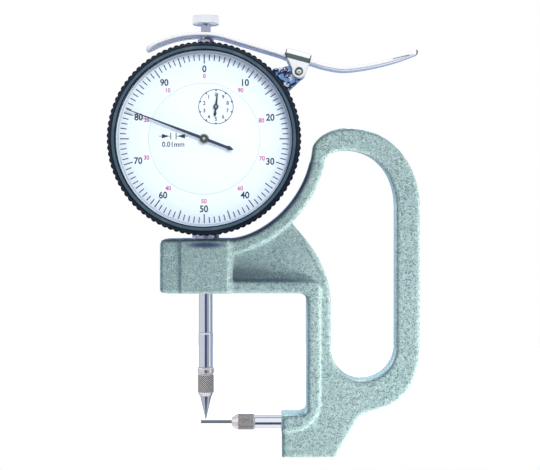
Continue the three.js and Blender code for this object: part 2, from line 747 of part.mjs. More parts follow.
function makeBackCover(screwCircle, parent) {
  const rear = caseBack + seatGap + coverThickness;
  let cover = rod('y', caseRadius, caseBack + seatGap, rear, largeFacets);
  coverScrewAngles.forEach((angle, i) => {
    const place = [screwCircle * Math.cos(angle), 0, screwCircle * Math.sin(angle)];
    const headFrom = rear - coverScrewHeadHeight;
    const past = rear + cutOverrun;
    const hole = rod('y', coverScrewShank + fitGap, caseBack - cutOverrun, past, smallFacets, place);
    const sink = rod('y', coverScrewHead + fitGap, headFrom - seatGap, past, smallFacets, place);
    cover = cover.subtract(hole).subtract(sink);
    const profile = [
      [0, headFrom - coverScrewLength], [coverScrewShank, headFrom - coverScrewLength],
      [coverScrewShank, headFrom], [coverScrewHead, headFrom],
      [coverScrewHead, rear - seatGap], [0, rear - seatGap],
    ];
    piece(`back_cover_screw_${i + 1}`, turned('y', profile, smallFacets, place), darkSteel, parent);
  });
  piece('back_cover', cover, chrome, parent);
}

// The grip of the bezel: convex scallops round the rim.
function scallopOutline() {
  const samples = scallops * scallopSamples;
  const points = Array.from({ length: samples }, (_, i) => {
    const angle = (i / samples) * fullTurn;
    const radius = bezelRadius - scallopDepth * (1 - Math.abs(Math.sin((scallops * angle) / 2)));
    return [radius * Math.cos(angle), radius * Math.sin(angle)];
  });
  const shape = outline(points);
  const hole = new THREE.Path();
  hole.absarc(0, 0, bezelFaceRadius, 0, fullTurn, false);
  shape.holes.push(hole);
  return shape;
}

function makeBezel(parent) {
  const grooveFront = -snapGroovePlace - snapGrooveWidth / 2;
  const grooveRear = grooveFront + snapGrooveWidth;
  const chamber = bezelBore + dialSeatDepth;
  const crystalSeat = bezelBore + crystalSeatDepth;
  const ledge = dialRear + seatGap;
  const profile = [
    [bezelBore, -bezelFront], [bezelFaceRadius, -bezelFront], [bezelShoulder, bezelFaceSlope - bezelFront],
    [bezelShoulder, -bezelRear], [bezelBore, -bezelRear],
    [bezelBore, grooveRear], [bezelBore + snapGrooveDepth, grooveRear],
    [bezelBore + snapGrooveDepth, grooveFront], [bezelBore, grooveFront],
    [bezelBore, ledge], [chamber, ledge], [chamber, crystalRear + seatGap],
    [crystalSeat, crystalRear + seatGap], [crystalSeat, crystalFront - seatGap],
    [bezelBore, crystalFront - seatGap], [bezelBore, -bezelFront],
  ];
  const grip = plate(scallopOutline(), -scallopFront, -scallopRear, 0, largeFacets / 4);
  piece('bezel', turned('y', profile, largeFacets).add(grip), blackPlastic, parent);
  piece('crystal', rod('y', crystalSeat - fitGap, crystalFront, crystalRear, largeFacets), clear, parent);
  const snapInner = caseRadius - snapRingDepth;
  const snapOuter = bezelBore + snapRingDepth;
  const snapFront = -snapGroovePlace - snapRingThickness / 2;
  const snap = ring('y', snapInner, snapOuter, snapFront, snapFront + snapRingThickness, largeFacets);
  piece('bezel_snap_ring', snap, steel, parent);
  const dialRing = ring('y', dialRingInner, chamber - fitGap, dialFront, dialRear, largeFacets);
  piece('dial_ring', dialRing, dialWhite, parent);
}

function makeDialCentre(parent) {
  const disc = rod('y', dialRingInner - fitGap, dialFront, dialRear, largeFacets);
  const through = [dialFront - cutOverrun, dialRear + cutOverrun];
  const centreHole = rod('y', arborRadius + wideGap, ...through, smallFacets);
  const counterHole = centreHole.translate([takeupX, 0, takeupZ]);
  piece('dial_centre', disc.subtract(centreHole).subtract(counterHole), dialWhite, parent);
}

// A toothed outline with the first tooth at an angle from +X. Pinions have flat tips, wheels pointed ones.
function toothedOutline(teeth, pitchRadius, module, firstTooth, flatTips) {
  const tip = pitchRadius + module * toothAddendumShare;
  const root = pitchRadius - module * toothDedendumShare;
  const pitch = fullTurn / teeth;
  const leaf = [[-leafRootShare, root], [-leafTipShare, tip], [leafTipShare, tip], [leafRootShare, root]];
  const steps = flatTips ? leaf : [[-toothGapShare, root], [0, tip]];
  const points = [];
  for (let tooth = 0; tooth < teeth; tooth += 1) {
    for (const [toothShare, radius] of steps) {
      const angle = firstTooth + (tooth + toothShare) * pitch;
      points.push([radius * Math.cos(angle), radius * Math.sin(angle)]);
    }
  }
  return outline(points);
}

// A spoked wheel, with its first tooth at an angle.
function wheel(firstTooth, boreRadius) {
  const pitchRadius = (gearModule * gearTeeth) / 2;
  const front = gearPlace - gearThickness / 2;
  const rear = gearPlace + gearThickness / 2;
  const shape = toothedOutline(gearTeeth, pitchRadius, gearModule, firstTooth, false);
  for (let i = 0; i < spokes; i += 1) {
    const from = ((i + spokeShare) * fullTurn) / spokes;
    const to = ((i + 1 - spokeShare) * fullTurn) / spokes;
    const window = new THREE.Path();
    window.absarc(0, 0, pitchRadius * gearRimShare, from, to, false);
    window.absarc(0, 0, gearWindowInner, to, from, true);
    window.closePath();
    shape.holes.push(window);
  }
  const hubRear = bridgeFront - wideGap;
  const hub = rod('y', gearHubRadius, front, hubRear, smallFacets);
  const body = plate(shape, front, rear, 0, windowSteps).add(hub);
  return body.subtract(rod('y', boreRadius, front - cutOverrun, hubRear + cutOverrun, smallFacets));
}

function makeGears(parent) {
  const drive = [driveX, 0, driveZ];
  const takeup = [takeupX, 0, takeupZ];
  const centreRadius = (gearModule * centrePinionTeeth) / 2;
  const firstGap = gearAngle + Math.PI / centrePinionTeeth;
  const centreTeeth = toothedOutline(centrePinionTeeth, centreRadius, gearModule, firstGap, true);
  const centreLeaves = plate(centreTeeth, gearPlace - pinionLength / 2, gearPlace + pinionLength / 2);
  const pointerHubFront = dialFront - pointerHeight - pointerHubHeight;
  const centreArbor = rod('y', arborRadius, pointerHubFront + wideGap, bridgeRear - seatGap, smallFacets);
  piece('centre_pinion', centreLeaves.add(centreArbor), steel, parent);
  const rackModule = (2 * rackPinionRadius) / rackPinionTeeth;
  const rackTeeth = toothedOutline(rackPinionTeeth, rackPinionRadius, rackModule, 0, true);
  const rackLeaves = plate(rackTeeth, -rackPinionLength / 2, rackPinionLength / 2);
  const driveEnd = rackPinionLength / 2 + wideGap;
  const driveArbor = rod('y', driveArborRadius, fitGap - caseFront, driveEnd, smallFacets);
  piece('rack_pinion', rackLeaves.add(driveArbor).translate(drive), steel, parent);
  const driveWheel = wheel(gearAngle + Math.PI, driveArborRadius + seatGap).translate(drive);
  piece('drive_gear', driveWheel, brass, parent);
  piece('takeup_gear', wheel(gearAngle, arborRadius + seatGap).translate(takeup), brass, parent);
  const counterFront = dialFront - counterHeight - counterHubHeight;
  const takeupStart = counterFront + fitGap * 2;
  const takeupArbor = rod('y', arborRadius, takeupStart, bridgeRear - seatGap, smallFacets, takeup);
  piece('takeup_arbor', takeupArbor, steel, parent);
}

// A flat coil spring round the take-up arbor, as a band along a spiral.
function makeHairspring(parent) {
  const edge = (offset) => Array.from({ length: hairspringSteps + 1 }, (_, i) => {
    const share = i / hairspringSteps;
    const radius = mix(hairspringInner, hairspringOuter, share) + offset;
    const angle = share * hairspringTurns * fullTurn;
    return [radius * Math.cos(angle), radius * Math.sin(angle)];
  });
  const shape = outline([...edge(hairspringWire / 2), ...edge(-hairspringWire / 2).reverse()]);
  const front = partitionRear + wideGap;
  const band = plate(shape, front, front + hairspringHeight);
  piece('hairspring', band.translate([takeupX, 0, takeupZ]), steel, parent);
}

function makeBridge(parent) {
  let bridge = rod('y', bridgeRadius, bridgeFront, bridgeRear, largeFacets / 2);
  const past = [bridgeFront - cutOverrun, bridgeRear + cutOverrun];
  const through = (radius, place) => rod('y', radius, ...past, smallFacets, place);
  const jewelPlaces = [[0, 0, 0], [takeupX, 0, takeupZ], [driveX, 0, driveZ]];
  for (const place of jewelPlaces) bridge = bridge.subtract(through(jewelRadius + fitGap, place));
  const window = new THREE.Shape();
  const [windowStart, windowEnd] = bridgeWindowAngles;
  window.absarc(0, 0, bridgeWindowOuter, windowStart, windowEnd, false);
  window.absarc(0, 0, bridgeWindowInner, windowEnd, windowStart, true);
  bridge = bridge.subtract(plate(window, ...past));
  pillarAngles.forEach((angle, i) => {
    const place = [pillarCircle * Math.cos(angle), 0, pillarCircle * Math.sin(angle)];
    bridge = bridge.subtract(through(bridgeScrewShank + fitGap, place));
    const ends = [partitionRear + seatGap, bridgeFront - seatGap];
    const pillar = ring('y', bridgeScrewShank + fitGap, pillarRadius, ...ends, smallFacets, place);
    piece(`bridge_pillar_${i + 1}`, pillar, brass, parent);
    const head = bridgeRear + seatGap;
    const profile = [
      [0, head - bridgeScrewLength], [bridgeScrewShank, head - bridgeScrewLength],
      [bridgeScrewShank, head], [bridgeScrewHead, head],
      [bridgeScrewHead, head + bridgeScrewHeadHeight], [0, head + bridgeScrewHeadHeight],
    ];
    piece(`bridge_screw_${i + 1}`, turned('y', profile, smallFacets, place), steel, parent);
  });
  piece('bridge_plate', bridge, brass, parent);
  const jewelFront = bridgeFront + seatGap;
  const partitionJewel = partitionRear - fitGap - jewelThickness;
  const jewels = [
    [jewelFront, arborRadius, jewelPlaces[0]], [jewelFront, arborRadius, jewelPlaces[1]],
    [jewelFront, driveArborRadius, jewelPlaces[2]], [partitionJewel, arborRadius, jewelPlaces[0]],
    [partitionJewel, driveArborRadius, jewelPlaces[2]],
  ];
  jewels.forEach(([front, arbor, place], i) => {
    const jewel = ring('y', arbor + fitGap, jewelRadius, front, front + jewelThickness, smallFacets, place);
    piece(`jewel_${i + 1}`, jewel, ruby, parent);
  });
}

// A smooth round wire along a coil with straight ends.
class CoilCurve extends THREE.Curve {
  constructor(bottom, top) {
    super();
    this.bottom = bottom;
    this.top = top;
  }

  getPoint(share, target = new THREE.Vector3()) {
    const angle = share * springTurns * fullTurn;
    const height = mix(this.bottom, this.top, share);
    return target.set(springRadius * Math.cos(angle), springRadius * Math.sin(angle), height);
  }
}

function makeGuideAndSpring(parent) {
  const bottom = -springDrop + springPostRadius + wideGap + springWire;
  const top = guidePinHeight - guidePinRadius - wideGap - springWire;
  const section = new THREE.Shape();
  section.absarc(0, 0, springWire, 0, fullTurn, false);
  const coil = new THREE.ExtrudeGeometry(section, {
    steps: springTurns * springStepsPerTurn,
    curveSegments: 2,
    bevelEnabled: false,
    extrudePath: new CoilCurve(bottom, top),
  });
  piece('return_spring', solid(coil.translate(springPlace, 0, 0)), steel, parent);
  const postPlace = [springPlace, 0, -springDrop];
  const postFront = bridgeRear + seatGap;
  const postRear = postFront + springPostLength;
  const post = rod('y', springPostRadius, postFront, postRear, smallFacets, postPlace);
  piece('spring_post', post, brass, parent);
  const railBottom = guidePinHeight - guidePinRadius - railWall - fitGap;
  const railTop = guidePinHeight + travel + guidePinRadius + railWall + fitGap;
  const slotHalf = guidePinRadius + fitGap;
  const railFront = bridgeRear + seatGap;
  const rail = block([railInner, railFront, railBottom], [railOuter, railFront + railDepth, railTop]);
  const slotLow = [railInner - cutOverrun, -slotHalf, railBottom + railWall];
  const slot = block(slotLow, [railOuter + cutOverrun, slotHalf, railTop - railWall]);
  const footHigh = [railOuter, railFront + railWall, railBottom + railFoot];
  const foot = block([railInner, railFront, railBottom - railFoot], footHigh);
  piece('guide_rail', rail.subtract(slot).add(foot), brass, parent);
}

// A pointer that narrows to its tip, with a leaf-shaped tail.
function pointerOutline(angle, length, tail, baseWidth, tipWidth, blobWidth) {
  const [east, north] = [Math.sin(angle), Math.cos(angle)];
  const at = (distance, offset) => [east * distance + north * offset, north * distance - east * offset];
  const waist = blobWidth * (1 + leafWaistShare) - tail;
  const waistWidth = baseWidth * waistWidthShare;
  const half = [
    [blobWidth - tail, blobWidth / 2], [waist, waistWidth / 2], [0, baseWidth / 2], [length, tipWidth / 2],
  ];
  const left = half.map(([distance, offset]) => at(distance, offset));
  const right = half.map(([distance, offset]) => at(distance, -offset)).reverse();
  return outline([at(-tail, 0), ...left, ...right].reverse());
}

function makePointers(parent) {
  const hubRear = dialFront - pointerHeight;
  const hubFront = hubRear - pointerHubHeight;
  const mainSizes = [pointerLength, pointerTail, pointerBaseWidth, pointerTipWidth, pointerBlob];
  const shape = pointerOutline(pointerAngle, ...mainSizes);
  const bladeFront = hubRear - pointerHubHeight / 2;
  const boreFront = hubFront + wideGap - seatGap;
  const bore = rod('y', arborRadius + seatGap, boreFront, hubRear + cutOverrun, smallFacets);
  const hub = rod('y', pointerHubRadius, hubFront, hubRear, midFacets);
  const blade = plate(shape, bladeFront, bladeFront + pointerThickness);
  piece('main_pointer', blade.add(hub).subtract(bore), pointerBlack, parent);
  const counterRear = dialFront - counterHeight;
  const counterFront = counterRear - counterHubHeight;
  const counterSizes = [counterLength, counterTail, counterWidth, counterTipWidth, counterBlob];
  const counterShape = pointerOutline(counterAngle, ...counterSizes);
  const counterPlace = counterRear - counterHubHeight / 2;
  const counterEnds = [counterFront + fitGap, counterRear + cutOverrun];
  const counterBore = rod('y', arborRadius + seatGap, ...counterEnds, smallFacets);
  const counterHub = rod('y', counterHubRadius, counterFront, counterRear, smallFacets);
  const counterBlade = plate(counterShape, counterPlace, counterPlace + pointerThickness);
  const counter = counterBlade.add(counterHub).subtract(counterBore);
  piece('counter_pointer', counter.translate([takeupX, 0, takeupZ]), pointerBlack, parent);
}

// Everything left of the rack teeth, to be cut from the spindle. A gap faces the pinion at rest.
function rackCut() {
  const face = spindleRadius;
  const root = face - rackDepth;
  const pinionHeight = dialHeight + driveZ;
  const below = Math.ceil((travel + rackPitch * 2) / rackPitch);
  const flank = rackPitch * rackFlankShare;
  const land = rackPitch * rackLandShare;
  const points = [[-face - cutOverrun, pinionHeight - below * rackPitch - land]];
  for (let i = -below; i <= rackGapsAbove; i += 1) {
    const centre = pinionHeight + i * rackPitch;
    points.push([-face, centre - land - flank], [-root, centre - land]);
    points.push([-root, centre + land], [-face, centre + land + flank]);
  }
  points.push([-face - cutOverrun, pinionHeight + rackGapsAbove * rackPitch + land]);
  return plate(outline(points), -spindleRadius - cutOverrun, spindleRadius + cutOverrun);
}

function makeSpindle(parent) {
  const shoulder = dialHeight + spindleShoulder;
  const profile = [
    [0, spindleBottom], [spindleRadius, spindleBottom], [spindleRadius, shoulder], [liftRodRadius, shoulder],
    [liftRodRadius, liftRodTop - fitGap], [0, liftRodTop - fitGap],
  ];
  const pinPlace = [0, 0, dialHeight + guidePinHeight];
  const pinHole = rod('x', guidePinRadius + fitGap, 0, spindleRadius + cutOverrun, smallFacets, pinPlace);
  piece('spindle', turned('z', profile).subtract(rackCut()).subtract(pinHole), chrome, parent);
  piece('guide_pin', rod('x', guidePinRadius, fitGap, guidePinReach, smallFacets, pinPlace), steel, parent);
  const extensionTop = extensionBottom + extensionLength;
  piece('extension_rod', rod('z', extensionRadius, extensionBottom, extensionTop), chrome, parent);
  const nutTop = nutBottom + nutLength;
  const nutProfile = [
    [0, nutBottom], [nutRadius - nutChamfer, nutBottom], [nutRadius, nutBottom + nutChamfer],
    [nutRadius, nutTop - nutChamfer], [nutRadius - nutChamfer, nutTop], [0, nutTop],
  ];
  piece('lock_nut', turned('z', nutProfile), steel, parent);
  const shankTop = collarBottom + tipShankLength;
  const holderProfile = [
    [0, collarBottom], [tipRadius, collarBottom], [collarRadius, collarTop],
    [holderRadius, collarTop + holderShoulder],
    [holderRadius, holderTop - nutChamfer], [holderRadius - nutChamfer, holderTop], [0, holderTop],
  ];
  const holeEnds = [collarBottom - cutOverrun, shankTop + seatGap];
  const shankHole = rod('z', tipShankRadius + fitGap, ...holeEnds, smallFacets);
  piece('contact_holder', turned('z', holderProfile).subtract(shankHole), steel, parent);
  const tipTop = collarBottom - seatGap;
  const tipProfile = [
    [0, tipEnd], [tipEndRadius, tipEnd + tipEndRadius], [tipRadius, tipTop], [tipShankRadius, tipTop],
    [tipShankRadius, shankTop], [0, shankTop],
  ];
  piece('contact_tip', turned('z', tipProfile), darkSteel, parent);
}

// The lifting knob, with straight knurling round its head and a blind bore for the spindle's lift rod.
function makeKnob(parent) {
  const headBottom = neckBottom + neckLength;
  const headTop = headBottom + knobHeight;
  const samples = knobRidges * 2;
  const points = Array.from({ length: samples }, (_, i) => {
    const radius = i % 2 ? knobRadius : knobRadius - knurlDepth;
    const angle = (i / samples) * fullTurn;
    return [radius * Math.cos(angle), radius * Math.sin(angle)];
  });
  const settings = { depth: knobHeight - knobChamfer * 2, bevelEnabled: false };
  const knurl = new THREE.ExtrudeGeometry(outline(points), settings);
  const plain = knobRadius - knurlDepth * 2;
  const profile = [
    [0, neckBottom], [neckRadius, neckBottom], [neckRadius, headBottom],
    [plain - knobChamfer, headBottom], [plain, headBottom + knobChamfer],
    [plain, headTop - knobChamfer], [plain - knobChamfer, headTop], [0, headTop],
  ];
  const body = turned('z', profile).add(solid(knurl.translate(0, 0, headBottom + knobChamfer)));
  const bore = rod('z', liftRodRadius + fitGap, neckBottom - cutOverrun, liftRodTop, smallFacets);
  piece('lifting_knob', body.subtract(bore), chrome, parent);
}

// The lever's centre line, from the tip of its tail to the tip of its thumb end.
function leverLine() {
  const rise = (share) => pivotHeight + leverRise * share;
  const points = [
    ...tailShares.map(([x, z]) => new THREE.Vector2(leverTail * x, rise(z))),
    ...spanShares.map(([x, z]) => new THREE.Vector2(pivotX * x, rise(z))),
    ...thumbShares.map(([x, z]) => new THREE.Vector2(pivotX + leverThumb * x, rise(z))),
  ];
  return new THREE.SplineCurve(points);
}

// A bent strip with a fork that straddles the spindle's lift rod.
function makeLever(parent) {
  const line = leverLine();
  const count = (tailShares.length + spanShares.length + thumbShares.length) * 2;
  const side = (offset) => Array.from({ length: count + 1 }, (_, i) => {
    const point = line.getPoint(i / count);
    const along = line.getTangent(i / count);
    return [point.x - along.y * offset, point.y + along.x * offset];
  });
  const shape = outline([...side(-leverThickness / 2), ...side(leverThickness / 2).reverse()]);
  const strip = plate(shape, -leverWidth / 2, leverWidth / 2);
  const low = [-leverTail - cutOverrun, -forkHalfWidth, pivotHeight];
  const high = [forkEnd, forkHalfWidth, leverSeat + cutOverrun];
  piece('lever', strip.subtract(block(low, high)), chrome, parent);
}

// The folded saddle over the lever, with a cheek each side of the lug, turned to the lever's slope.
function makeSaddle(parent) {
  const middle = leverRise * Math.cos(leverSlope) * saddleHeightShare();
  const lidBottom = middle + leverThickness / 2 + wideGap;
  const lidTop = lidBottom + saddleSheet;
  const shape = new THREE.Shape();
  shape.moveTo(-saddleRound, 0);
  shape.absarc(0, 0, saddleRound, Math.PI, fullTurn, false);
  shape.lineTo(saddleRight, lidTop - saddleSlopeDrop);
  shape.lineTo(saddleRight, lidTop);
  shape.lineTo(-saddleLeft, lidTop);
  shape.lineTo(-saddleLeft, lidTop - saddleSlopeDrop);
  const outer = cheekHalf + saddleSheet;
  const width = saddleLeft + saddleRight + saddleRound;
  const channel = block([-width, -cheekHalf, -width], [width, cheekHalf, lidBottom]);
  const pinHole = rod('y', pivotPinRadius + fitGap, -outer - cutOverrun, outer + cutOverrun, midFacets);
  const body = plate(shape, -outer, outer).subtract(channel).subtract(pinHole);
  const tilted = body.rotate([0, -THREE.MathUtils.radToDeg(leverSlope), 0]);
  piece('lever_saddle', tilted.translate([pivotX, 0, pivotHeight]), chrome, parent);
  makePivotPin(outer, parent);
}

// How far the lever's centre line lies above the pivot, as a share of its rise at the spindle.
function saddleHeightShare() {
  const line = leverLine();
  let best = 0;
  for (let i = 0; i <= lineSamples; i += 1) {
    const point = line.getPoint(i / lineSamples);
    if (point.x <= pivotX) best = (point.y - pivotHeight) / leverRise;
  }
  return best;
}

function makePivotPin(outer, parent) {
  const from = -outer - seatGap - pivotHeadHeight;
  const to = outer + seatGap + pivotHeadHeight;
  const profile = [
    [0, from], [pivotHeadRadius, from], [pivotHeadRadius, from + pivotHeadHeight],
    [pivotPinRadius, from + pivotHeadHeight], [pivotPinRadius, to - pivotHeadHeight],
    [pivotHeadRadius, to - pivotHeadHeight], [pivotHeadRadius, to], [0, to],
  ];
  piece('pivot_pin', turned('y', profile, midFacets, [pivotX, 0, pivotHeight]), steel, parent);
}

// The lug that carries the lever. Built along +X from the dial axis, then turned up to the pivot.
function makeBracket(parent) {
  const half = leverWidth / 2 - fitGap;
  const shape = new THREE.Shape();
  shape.moveTo(caseRadius - caseWall, -lugLower);
  shape.lineTo(lugShoulder, -lugLower);
  shape.lineTo(pivotRadius, -lugRound);
  shape.absarc(pivotRadius, 0, lugRound, -quarterTurn, quarterTurn / 2, false);
  shape.lineTo(pivotRadius - lugRound, lugUpperTip);
  shape.lineTo(lugShoulder, lugUpper);
  shape.lineTo(caseRadius - caseWall, lugUpper);
  const flangeTop = caseRadius + lugFlange;
  const flangeLow = [caseRadius - caseWall, -half, -lugFlangeReach];
  let body = plate(shape, -half, half).add(block(flangeLow, [flangeTop, lugFlangeBack, lugFlangeReach]));
  const seat = rod('y', caseRadius + fitGap, -caseFront - cutOverrun, caseBack + cutOverrun, largeFacets);
  const pinEnds = [-half - cutOverrun, half + cutOverrun];
  const pinHole = rod('y', pivotPinRadius + fitGap, ...pinEnds, midFacets, [pivotRadius, 0, 0]);
  body = body.subtract(seat).subtract(pinHole);
  const turn = [0, -THREE.MathUtils.radToDeg(pivotAngle), 0];
  [-1, 1].forEach((side, i) => {
    const place = [0, lugScrewPlace, side * lugScrewSpread];
    const holeEnds = [caseRadius - caseWall, flangeTop + cutOverrun];
    body = body.subtract(rod('x', lugScrewShank + fitGap, ...holeEnds, smallFacets, place));
    const head = flangeTop + seatGap;
    const profile = [
      [0, head - lugScrewLength], [lugScrewShank, head - lugScrewLength], [lugScrewShank, head],
      [lugScrewHead, head], [lugScrewHead, head + lugScrewHeadHeight], [0, head + lugScrewHeadHeight],
    ];
    piece(`bracket_screw_${i + 1}`, turned('x', profile, smallFacets, place).rotate(turn), steel, parent);
  });
  piece('lever_bracket', body.rotate(turn), chrome, parent);
}

const gauge = new THREE.Group();
const dial = new THREE.Group();
const movement = new THREE.Group();
dial.position.z = dialHeight;
gauge.position.x = -footCentre;
gauge.add(dial);
dial.add(movement);

makeFrame(gauge);
makeAnvil(gauge);
makeSpindle(gauge);
makeKnob(gauge);
makeLever(gauge);
makeSaddle(gauge);
makeCase(dial);
makeBezel(dial);
makeDialCentre(dial);
makeBracket(dial);
makePointers(dial);
makeGears(movement);
makeHairspring(movement);
makeBridge(movement);
makeGuideAndSpring(movement);

const part = new THREE.Group();
part.add(gauge);

export default part;
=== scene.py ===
"""Finished look of a tube wall thickness gauge: a dial gauge in a painted casting with a finger loop.

Shapes are worked out in millimetres, with X = 0 on the spindle's axis and Z = 0 on the foot.
"""

import json
import math

import bmesh
import bpy
import numpy as np
from bpy.props import FloatProperty, FloatVectorProperty, IntProperty, PointerProperty
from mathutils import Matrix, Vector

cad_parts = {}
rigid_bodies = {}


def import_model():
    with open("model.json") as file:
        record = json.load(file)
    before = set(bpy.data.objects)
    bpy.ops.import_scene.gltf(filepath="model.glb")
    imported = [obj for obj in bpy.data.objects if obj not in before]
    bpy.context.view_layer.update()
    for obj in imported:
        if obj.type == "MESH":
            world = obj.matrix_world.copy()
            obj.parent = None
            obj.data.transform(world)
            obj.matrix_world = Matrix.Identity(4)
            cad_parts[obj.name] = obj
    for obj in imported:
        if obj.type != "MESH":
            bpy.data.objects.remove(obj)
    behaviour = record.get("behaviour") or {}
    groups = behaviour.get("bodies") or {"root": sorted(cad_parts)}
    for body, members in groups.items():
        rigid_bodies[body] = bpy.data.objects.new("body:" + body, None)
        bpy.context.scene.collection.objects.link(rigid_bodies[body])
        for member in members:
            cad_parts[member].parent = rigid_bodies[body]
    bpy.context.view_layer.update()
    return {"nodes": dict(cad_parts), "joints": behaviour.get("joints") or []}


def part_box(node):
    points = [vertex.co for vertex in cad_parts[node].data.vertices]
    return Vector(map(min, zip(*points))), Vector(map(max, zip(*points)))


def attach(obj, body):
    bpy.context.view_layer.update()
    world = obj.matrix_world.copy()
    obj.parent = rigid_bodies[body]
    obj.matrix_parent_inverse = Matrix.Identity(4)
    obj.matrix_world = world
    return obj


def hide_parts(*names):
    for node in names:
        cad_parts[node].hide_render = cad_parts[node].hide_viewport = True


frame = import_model()

bl_info = {
    "name": "Tube wall thickness gauge",
    "version": (1, 0, 0),
    "blender": (4, 5, 0),
    "location": "3D Viewport > Sidebar > Gauge",
    "description": "Builds the surfaces and finishes of a dial gauge in a cast frame",
    "category": "Object",
}

# Places and sizes that several pieces share, most of them from the CAD's joints

MM = 0.001
joints = {joint["name"]: joint for joint in frame["joints"]}
SPINDLE_X = joints["bezel_turn"]["pos_m"][0] / MM
DIAL_Z = joints["bezel_turn"]["pos_m"][2] / MM
PIVOT_X = joints["lever_pivot"]["pos_m"][0] / MM - SPINDLE_X
PIVOT_Z = joints["lever_pivot"]["pos_m"][2] / MM
COUNTER_X = joints["takeup_turn"]["pos_m"][0] / MM - SPINDLE_X
COUNTER_Z = joints["takeup_turn"]["pos_m"][2] / MM
DRIVE_X = joints["drive_turn"]["pos_m"][0] / MM - SPINDLE_X
DRIVE_Z = joints["drive_turn"]["pos_m"][2] / MM
ANVIL_Z = 9.95
PIVOT_REACH = 34.1
LEVER_SLOPE = math.radians(-15)
DIAL_FRONT = -9.6
KNURL_COUNT = 24
KNURL_PITCH = 0.62
HOLDER_KNURL = (18.75, 24.1)
CHUCK_KNURL = (9.55, 14.3)

BODY = "gauge_frame"
AXES = {
    "x": np.array([[0, 1, 0], [0, 0, 1], [1, 0, 0]], float),
    "y": np.array([[0, 0, 1], [1, 0, 0], [0, 1, 0]], float),
    "z": np.array([[1, 0, 0], [0, 1, 0], [0, 0, 1]], float),
}


# Sizes and colours that a user may change


def length_property(name, description, default, least=0.0):
    """A property for a size in millimetres."""
    return FloatProperty(name=name, description=description, default=default, min=least)


def colour_property(name, description, default):
    """A property for a colour."""
    return FloatVectorProperty(name=name, description=description, default=default, subtype="COLOR")


class GaugeSizes(bpy.types.PropertyGroup):
    """Sizes of the finish, in millimetres."""

    casting_step: length_property("Casting mesh", "Spacing of the points on the casting", 0.38, 0.2)
    sheet_step: length_property("Sheet mesh", "Spacing of the points on the lever", 0.2, 0.1)
    casting_edge: length_property("Casting edge", "Rounding of the casting's outer edges", 1.0)
    rib_edge: length_property("Rib edge", "Rounding of the raised ribs", 0.95)
    fillet: length_property("Fillet", "Rounding where a rib meets the casting", 0.6)
    tick_width: length_property("Graduation width", "Width of the fine graduations", 0.28)
    long_tick_width: length_property("Long graduation width", "Width of the longer ones", 0.31)
    numeral_height: length_property("Numeral height", "Height of the dark numerals", 2.05)
    red_height: length_property("Inner numeral height", "Height of the red numerals", 1.35)
    small_height: length_property("Counter numeral height", "Height of the counter's numerals", 1.15)
    knurl_depth: length_property("Knurl depth", "Depth of the diamond knurl", 0.13)
    scallops: IntProperty(name="Scallops", description="Scallops round the bezel", default=96)


class GaugeColours(bpy.types.PropertyGroup):
    """Colours of the finishes, as linear light."""

    paint: colour_property("Paint", "Hammer paint", (0.252, 0.397, 0.402))
    paint_dark: colour_property("Paint grain", "Dark grains", (0.06, 0.1, 0.105))
    paint_pale: colour_property("Paint bloom", "Pale mottles", (0.372, 0.528, 0.532))
    dial: colour_property("Dial", "Dial enamel", (0.88, 0.96, 0.99))
    ink: colour_property("Ink", "Dark print", (0.012, 0.014, 0.045))
    red_ink: colour_property("Red ink", "Red print", (0.62, 0.05, 0.3))
    bezel: colour_property("Bezel", "Bezel grip", (0.004, 0.008, 0.02))
    # Painted sheen: a dark teal that stands in for the reflection on the bezel's front face
    bezel_face: colour_property("Bezel face", "Satin face", (0.055, 0.1, 0.13))
    chrome: colour_property("Chrome", "Bright plate", (0.88, 0.91, 0.96))
    steel: colour_property("Steel", "Turned steel", (0.6, 0.6, 0.61))
    dark_steel: colour_property("Hard steel", "Hardened steel", (0.24, 0.28, 0.32))
    brass: colour_property("Brass", "Movement brass", (0.66, 0.46, 0.17))
    ruby: colour_property("Ruby", "Bearing jewels", (0.42, 0.01, 0.05))


# Finishes


class Signal:
    """A node's output socket. Arithmetic on it adds Math nodes to the finish."""

    def __init__(self, finish, socket):
        self.finish = finish
        self.socket = socket

    def _math(self, operation, *values):
        """Adds a Math node that works on the values."""
        return self.finish.node("ShaderNodeMath", {"operation": operation}, dict(enumerate(values)))

    def __add__(self, other):
        return self._math("ADD", self, other)

    def __sub__(self, other):
        return self._math("SUBTRACT", self, other)

    def __rsub__(self, other):
        return self._math("SUBTRACT", other, self)

    def __mul__(self, other):
        return self._math("MULTIPLY", self, other)

    def __truediv__(self, other):
        return self._math("DIVIDE", self, other)

    def __pow__(self, other):
        return self._math("POWER", self, other)

    def __abs__(self):
        return self._math("ABSOLUTE", self)

    __radd__ = __add__
    __rmul__ = __mul__

    def step(self, low, high):
        """0 below low and 1 above high, with a soft run between them."""
        values = {"Value": self, "From Min": low, "From Max": high}
        return self.finish.node("ShaderNodeMapRange", {"interpolation_type": "SMOOTHSTEP"}, values)

    def least(self, other):
        """The lesser of this signal and another."""
        return self._math("MINIMUM", self, other)

    def most(self, other):
        """The greater of this signal and another."""
        return self._math("MAXIMUM", self, other)


